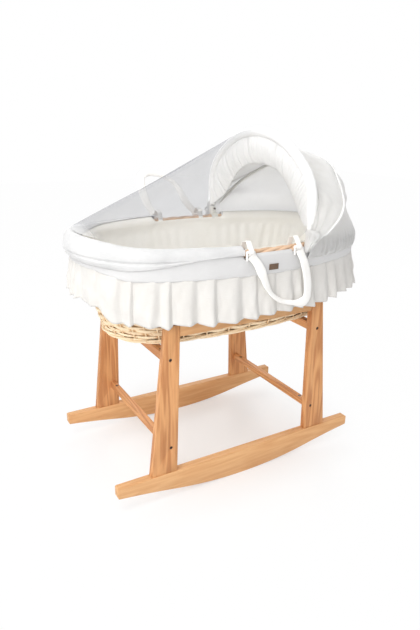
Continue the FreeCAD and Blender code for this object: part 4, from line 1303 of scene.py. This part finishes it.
class MOSES_OT_hood_casings(bpy.types.Operator):
    """Rolled cloth casings of the two hoops and the piped seam of the hood"""

    bl_idname = "moses.hood_casings"
    bl_label = "Hood casings"

    def execute(self, context):
        share = np.linspace(0, 1, 200)
        front = hood(*arch(0.2380, 0.2385, 0.1110, HOOP_LEG, 0.012, share), 0.0, 0.003)
        rear = hood(*arch(0.2219, 0.2500, 0.1180, HOOP_LEG, 0.022, share), REAR_TILT)
        piping = seam_line(share * 0.94 + 0.03, 0.001)
        rolls = (
            ("front_hoop_casing", front, 0.0, 0.0128, 0.0142, "brim_cotton", "hood_front", "front_hoop"),
            ("rear_hoop_casing", rear, REAR_TILT, 0.0046, 0.0046, "hood_cotton", "hood_rear", "rear_hoop"),
            ("hood_seam_piping", piping, REAR_TILT, 0.0030, 0.0030, "hood_cotton", "hood_rear"),
        )
        for name, path, tilt, fat, deep, look, *body_and_node in rolls:
            piece = put(name, casing(path, tilt, fat, deep), look, "hood_cloth", *body_and_node)
        return {"FINISHED"}


class MOSES_OT_hood_base(bpy.types.Operator):
    """Folds of hood cloth that hide each pivot: a small sheet drawn together towards the rim"""

    bl_idname = "moses.hood_base"
    bl_label = "Hood base"

    def execute(self, context):
        front = np.array([[0.1390, 0.2460, 0.679], [0.1370, 0.2490, 0.671], [0.1330, 0.2540, 0.660],
                          [0.1275, 0.2590, 0.646], [0.1235, 0.2620, 0.626]])
        rear = np.array([[0.1600, 0.2700, 0.675], [0.1560, 0.2760, 0.669], [0.1490, 0.2790, 0.659],
                         [0.1370, 0.2750, 0.645], [0.1275, 0.2655, 0.626]])
        inner = front + [0.004, -0.016, 0.0]
        bulge = np.linspace(0, 1, len(front))[:, None] * [-0.0020, 0.0050, 0.0015]
        middle = 0.5 * (front + rear) + bulge
        u = np.linspace(0, 1, 48)[:, None]
        v = np.linspace(0, 1, 40)[None, :]
        curves = [line_through(line, v[0]) for line in (inner, front, middle, rear)]
        sheet = np.swapaxes(through(curves, u[:, 0]), 0, 1)
        fan = 0.0020 * np.sin(2 * np.pi * (3.6 * u + 0.15 + 0.1 * v)) * smooth(v, 0.1, 0.5)
        fan = fan * smooth(u, 0.25, 0.45) * (1 - smooth(u, 0.85, 1.0))
        sheet = sheet + fan[..., None] * np.array([-0.35, 0.90, 0.25])
        near = (sheet * [1, -1, 1])[:, ::-1]
        far = sheet + [0.012, 0, 0]
        for name, points in (("hood_base_near", near), ("hood_base_far", far)):
            piece = put(name, surface(points), "hood_cotton", "hood_cloth", "basket")
            cloth_thick(piece, sizes().cloth, -1.0)
        return {"FINISHED"}


class MOSES_OT_hood_brim(bpy.types.Operator):
    """Gathered brim inside the front hoop: a crescent, deepest at the crown, with fine gathers that run in
    to its elastic edge"""

    bl_idname = "moses.hood_brim"
    bl_label = "Hood brim"

    def execute(self, context):
        share = np.linspace(0, 1, 800)[:, None]
        inward = np.linspace(0, 1, 24)[None, :]
        outer_across, outer_up = arch(0.2300, 0.2305, 0.1050, 0.072, 0.024, share)
        half = np.array([[0.2240, 0.018], [0.2090, 0.028], [0.1870, 0.044], [0.1650, 0.066], [0.1460, 0.089],
                         [0.1240, 0.1130], [0.0980, 0.1325], [0.0660, 0.1465], [0.0330, 0.1530],
                         [0.0, 0.1550]])
        inner = line_through(np.concatenate([half * [-1, 1], half[-2::-1]]), share[:, 0])
        across = outer_across + (inner[:, :1] - outer_across) * inward
        up = outer_up + (inner[:, 1:] - outer_up) * inward
        crown = smooth(outer_up, 0.03, 0.16)
        phase = sizes().gathers * share + 0.5 * ripple(share, 0, 101, (3, 11), 6)
        crest = np.abs(np.sin(np.pi * phase)) ** 0.8
        fine = np.abs(np.sin(np.pi * (phase * 2.3 + 0.3)))
        strength = (0.0020 + 0.0052 * hump(np.clip(inward, 0, 0.75), 0.8)) * (0.3 + 0.7 * crown)
        gather = strength * (crest - 0.6) + 0.0010 * (fine - 0.5) * smooth(inward, 0.1, 0.6) * crown
        puff = (0.015 * inward**1.6 - 0.0075 * hump(inward, 0.8)) * crown
        points = hood(across, up, 0.0, -0.001 + puff - gather)
        mesh = surface(points[:, ::-1])
        piece = put("hood_brim_cloth", mesh, "brim_cotton", "hood_cloth", "hood_front", "hood_brim")
        cloth_thick(piece, sizes().cloth)
        return {"FINISHED"}


class MOSES_OT_hood_panel(bpy.types.Operator):
    """Cloth between the two hoops: one curved sheet that dips between them and stands out low down, with
    folds running up from the pivots"""

    bl_idname = "moses.hood_panel"
    bl_label = "Hood panel"

    def execute(self, context):
        share = np.linspace(0, 1, 300)[:, None]
        back = np.linspace(0, 1, 48)[None, :]
        half_width, reach = 0.2460 - 0.0175 * back, 0.2460 + 0.0105 * back
        across, up = arch(half_width, reach, 0.118, HOOP_LEG, 0.012 - 0.024 * back, share)
        sag = (0.003 + 0.030 * smooth(up, 0.03, 0.20)) * hump(back**0.8, 1.1)
        fan = 0.0034 * bell(up, 0, 0.085) * np.sin(2 * np.pi * (3.6 * back + 0.2)) * hump(back, 0.5)
        long = 0.0034 * ripple(share, back * 0.7, 111, (3, 9), 7, 1.3)
        small = 0.0007 * ripple(share, back, 112, (14, 30), 8, 3.0)
        move = ((long + small) * hump(back) - sag + fan) / np.hypot(across, up)
        wide = across * (1 + move) + np.sign(across) * flare(up) * back**1.25
        points = hood(wide, up * (1 + move), REAR_TILT * back, 0.003 * back)
        mesh = surface(points[:, ::-1])
        piece = put("hood_panel_cloth", mesh, "hood_cotton", "hood_cloth", None, "hood_front_panel")
        cloth_thick(piece, sizes().cloth, -1.0)
        start = HOOD_AXIS - PANEL_BEHIND * PANEL_BLEND * REAR_AHEAD
        end = start + PANEL_BLEND * REAR_AHEAD
        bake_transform(piece, "basket", "hood_front", start.tolist(), end.tolist())
        return {"FINISHED"}


class MOSES_OT_hood_tail(bpy.types.Operator):
    """Cloth behind the seam: it falls over the head end, bulges and is gathered by an elastic hem under the
    rim"""

    bl_idname = "moses.hood_tail"
    bl_label = "Hood tail"

    def execute(self, context):
        share = np.linspace(0, 1, 420)
        down = np.linspace(0, 1, 64)
        seam = seam_line(share)
        near, far = border_shares(0.134)
        way = near + (far - near) * share
        sides = 1 - smooth(to_end(share), 0.02, 0.30)
        shoulder = ring(BORDER, way, -0.010 + 0.046 * sides, np.minimum(0.703, seam[:, 2] - 0.004))
        upper = 0.5 * (seam + shoulder)
        upper = upper + (upper - [HOOD_X + 0.02, 0, 0.60]) * 0.055 * (1 - 0.7 * sides)[:, None]
        rim = ring(BORDER, way, 0.0150 + 0.0120 * sides, np.minimum(0.657, shoulder[:, 2] - 0.012))
        fold = ring(BORDER, way, 0.0240 + 0.0030 * sides, np.minimum(0.633, rim[:, 2] - 0.014))
        hem = ring(BORDER, way, 0.0225 + 0.0010 * sides, 0.6125)
        tuck = ring(BORDER, way, 0.0196, 0.6050)
        points = through([seam, upper, shoulder, rim, fold, hem, tuck], down)

        u = share[:, None]
        v = down[None, :]
        pull = smooth(v, 0.42, 0.72) * (1 - 0.35 * smooth(v, 0.85, 1.0))
        gathers = 0.0016 * ripple(u, v * 0.3, 121, (30, 56), 8, 0.6) * pull
        broad = 0.0040 * ripple(u, v * 0.8, 122, (3, 8), 6, 1.2) * hump(np.clip(v / 0.6, 0, 1), 2)
        out = unit(points - [HOOD_X + 0.06, 0, 0.62])
        points = points + out * ((gathers + broad) * smooth(to_end(u), 0.0, 0.04))[..., None]
        mesh = surface(points[:, ::-1])
        piece = put("hood_tail_cloth", mesh, "hood_cotton", "hood_cloth", None, "hood_tail")
        cloth_thick(piece, sizes().cloth, -1.0)
        start = HOOD_AXIS - TAIL_BLEND * REAR_AHEAD
        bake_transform(piece, "basket", "hood_rear", start.tolist(), HOOD_AXIS.tolist())
        return {"FINISHED"}


class MOSES_OT_net(bpy.types.Operator):
    """Insect net: straight lines from the front hoop to the rim round the foot, drawn a little slack"""

    bl_idname = "moses.net"
    bl_label = "Insect net"

    def execute(self, context):
        share = np.linspace(0, 1, 240)[:, None]
        down = np.linspace(0, 1, 60)[None, :]
        top = hood(*arch(0.2440, 0.2450, 0.1180, HOOP_LEG, 0.012, share), 0.0, -0.0105)
        hoop_marks = [0.0, 0.085, 0.20, 0.34, 0.5, 0.66, 0.80, 0.915, 1.0]
        rim_marks = [0.0, 0.25, 0.345, 0.425, 0.5, 0.575, 0.655, 0.75, 1.0]
        evened = 25
        way = np.interp(share[:, 0], hoop_marks, rim_marks)
        way = np.pad(way, evened // 2, mode="reflect", reflect_type="odd")
        way = np.convolve(way, np.ones(evened) / evened, mode="valid")[:, None]
        near, far = border_shares(0.128)
        along = near + (far - 1 - near) * way
        cover, _, foot, tip = rim_places(along)
        height = 0.6440 + 0.0128 * cover + 0.0030 * foot + 0.0150 * tip
        rim = ring(BORDER, along, -0.0165 + 0.0115 * cover + 0.009 * tip, height)
        points = top + (rim - top) * down[..., None]
        slack = hump(down) * (0.004 + 0.0020 * ripple(share, down, 131, (3, 10), 6, 0.8))
        points = points + unit(np.array([0.0, 0.0, 0.60]) - points) * slack[..., None]
        piece = put("net_veil", surface(points), "insect_net", "net", None, "net_cover")
        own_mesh(piece)
        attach(piece, "basket")
        return {"FINISHED"}


# Stage


def placed(name, data, place, right, back):
    """A new object at a place, turned by its directions to the right and back."""
    turn = np.eye(4)
    turn[:3] = np.stack([right, np.cross(back, right), back, place], -1)
    made = bpy.data.objects.new(name, data)
    bpy.context.scene.collection.objects.link(made)
    made.matrix_world = Matrix(turn.tolist())
    return made


def lamp(name, place, aim, size, power):
    """A soft square lamp turned to a point."""
    light = bpy.data.lights.new(name, "AREA")
    light.size = size
    light.energy = power
    back = unit(np.subtract(place, aim))
    placed(name, light, place, unit(np.cross([0, 1, 0.01], back)), back)


def floor(half):
    """A pale floor that fades to plain white away from the basket."""
    mesh = bpy.data.meshes.new("floor")
    corners = [(-half, -half, 0), (half, -half, 0), (half, half, 0), (-half, half, 0)]
    mesh.from_pydata(corners, [], [(0, 1, 2, 3)])
    look = material("floor_paper")
    grain = look.noise(look.place(), 220.0, 2.0)
    near = look.plain(Base_Color=(0.93, 0.93, 0.935, 1), Roughness=0.85 + grain * 0.1, Specular_IOR_Level=0.1)
    white = look.node("ShaderNodeEmission", {"Color": (1, 1, 1, 1), "Strength": 1.0})
    away = look.node("ShaderNodeVectorMath", {0: look.place()}, out="Value", operation="LENGTH")
    seen = look.node("ShaderNodeLightPath", out="Is Camera Ray")
    share = (look.between(away, 0.15, 0.55) * 0.62 + 0.36) * seen
    mesh.materials.append(look.end(look.node("ShaderNodeMixShader", {0: share, 1: near, 2: white})))
    placed("floor", mesh, (0, 0, 0), (1, 0, 0), (0, 0, 1))


def studio():
    """A world of even light that the camera sees as plain white."""
    look = Nodes(bpy.data.worlds.new("studio"))
    glow = look.node("ShaderNodeBackground", {"Color": (0.99, 0.99, 1.0, 1), "Strength": 0.655})
    white = look.node("ShaderNodeBackground", {"Color": (1, 1, 1, 1), "Strength": 1.0})
    seen = look.node("ShaderNodeLightPath", out="Is Camera Ray")
    return look.end(look.node("ShaderNodeMixShader", {0: seen, 1: glow, 2: white}), "ShaderNodeOutputWorld")


def camera(aim, distance, azimuth, elevation, roll_angle, lens):
    """The photo's camera: it looks at a point from a distance, turned about its own axis."""
    azimuth, elevation, roll_angle = np.radians([azimuth, elevation, roll_angle])
    back = np.array([np.sin(azimuth), -np.cos(azimuth), np.tan(elevation)]) * np.cos(elevation)
    right = unit(np.cross(-back, [0, 0, 1]))
    right = right * np.cos(roll_angle) + np.cross(back, right) * np.sin(roll_angle)
    eye = bpy.data.cameras.new("camera")
    eye.sensor_fit = "VERTICAL"
    eye.sensor_height = 36.0
    eye.sensor_width = 24.0
    eye.lens = lens
    return placed("camera", eye, aim + back * distance, right, back)


class MOSES_OT_stage(bpy.types.Operator):
    """Camera, pale floor and soft studio light"""

    bl_idname = "moses.stage"
    bl_label = "Stage"

    def execute(self, context):
        floor(half=7.0)
        context.scene.world = studio()
        lamp("key", (-2.7, -2.3, 1.9), (0, 0, 0.5), 1.8, 56)
        lamp("fill", (-1.0, -0.45, 1.9), (0.15, 0.05, 0.60), 0.9, 13)
        lamp("behind", (1.3, 2.3, 1.9), (0.30, 0.10, 0.75), 1.2, 24)
        lamp("overhead", (-0.3, 0.2, 3.2), (0, 0, 0.4), 2.6, 5)
        context.scene.camera = camera(aim=np.array([0.0051, 0, 0.3982]), distance=1.5987, azimuth=-30.694,
                                      elevation=19.780, roll_angle=1.040, lens=31.52)
        context.scene.view_settings.view_transform = "Standard"
        return {"FINISHED"}


# Panel and start

OPERATORS = (
    MOSES_OT_stand, MOSES_OT_hardware, MOSES_OT_wicker, MOSES_OT_lining, MOSES_OT_mattress, MOSES_OT_rim_pads,
    MOSES_OT_skirt_band, MOSES_OT_frill, MOSES_OT_label, MOSES_OT_strap_loops, MOSES_OT_straps,
    MOSES_OT_hood_casings, MOSES_OT_hood_base, MOSES_OT_hood_brim, MOSES_OT_hood_panel, MOSES_OT_hood_tail,
    MOSES_OT_net_hem, MOSES_OT_net, MOSES_OT_stage,
)


class MOSES_PT_panel(bpy.types.Panel):
    """Sizes, colours and the steps that build the basket"""

    bl_idname = "MOSES_PT_panel"
    bl_label = "Moses basket"
    bl_space_type = "VIEW_3D"
    bl_region_type = "UI"
    bl_category = "Moses basket"

    def draw(self, context):
        for group in (context.scene.moses_sizes, context.scene.moses_colours):
            box = self.layout.box()
            for key in group.__annotations__:
                box.prop(group, key)
        for made in OPERATORS:
            self.layout.operator(made.bl_idname)


CLASSES = (MosesSizes, MosesColours, *OPERATORS, MOSES_PT_panel)


def register():
    for made in CLASSES:
        bpy.utils.register_class(made)
    bpy.types.Scene.moses_sizes = bpy.props.PointerProperty(type=MosesSizes)
    bpy.types.Scene.moses_colours = bpy.props.PointerProperty(type=MosesColours)


def unregister():
    del bpy.types.Scene.moses_colours
    del bpy.types.Scene.moses_sizes
    for made in reversed(CLASSES):
        bpy.utils.unregister_class(made)


def main():
    register()
    for made in OPERATORS:
        getattr(bpy.ops.moses, made.bl_idname.removeprefix("moses."))()


if __name__ == "__main__":
    main()
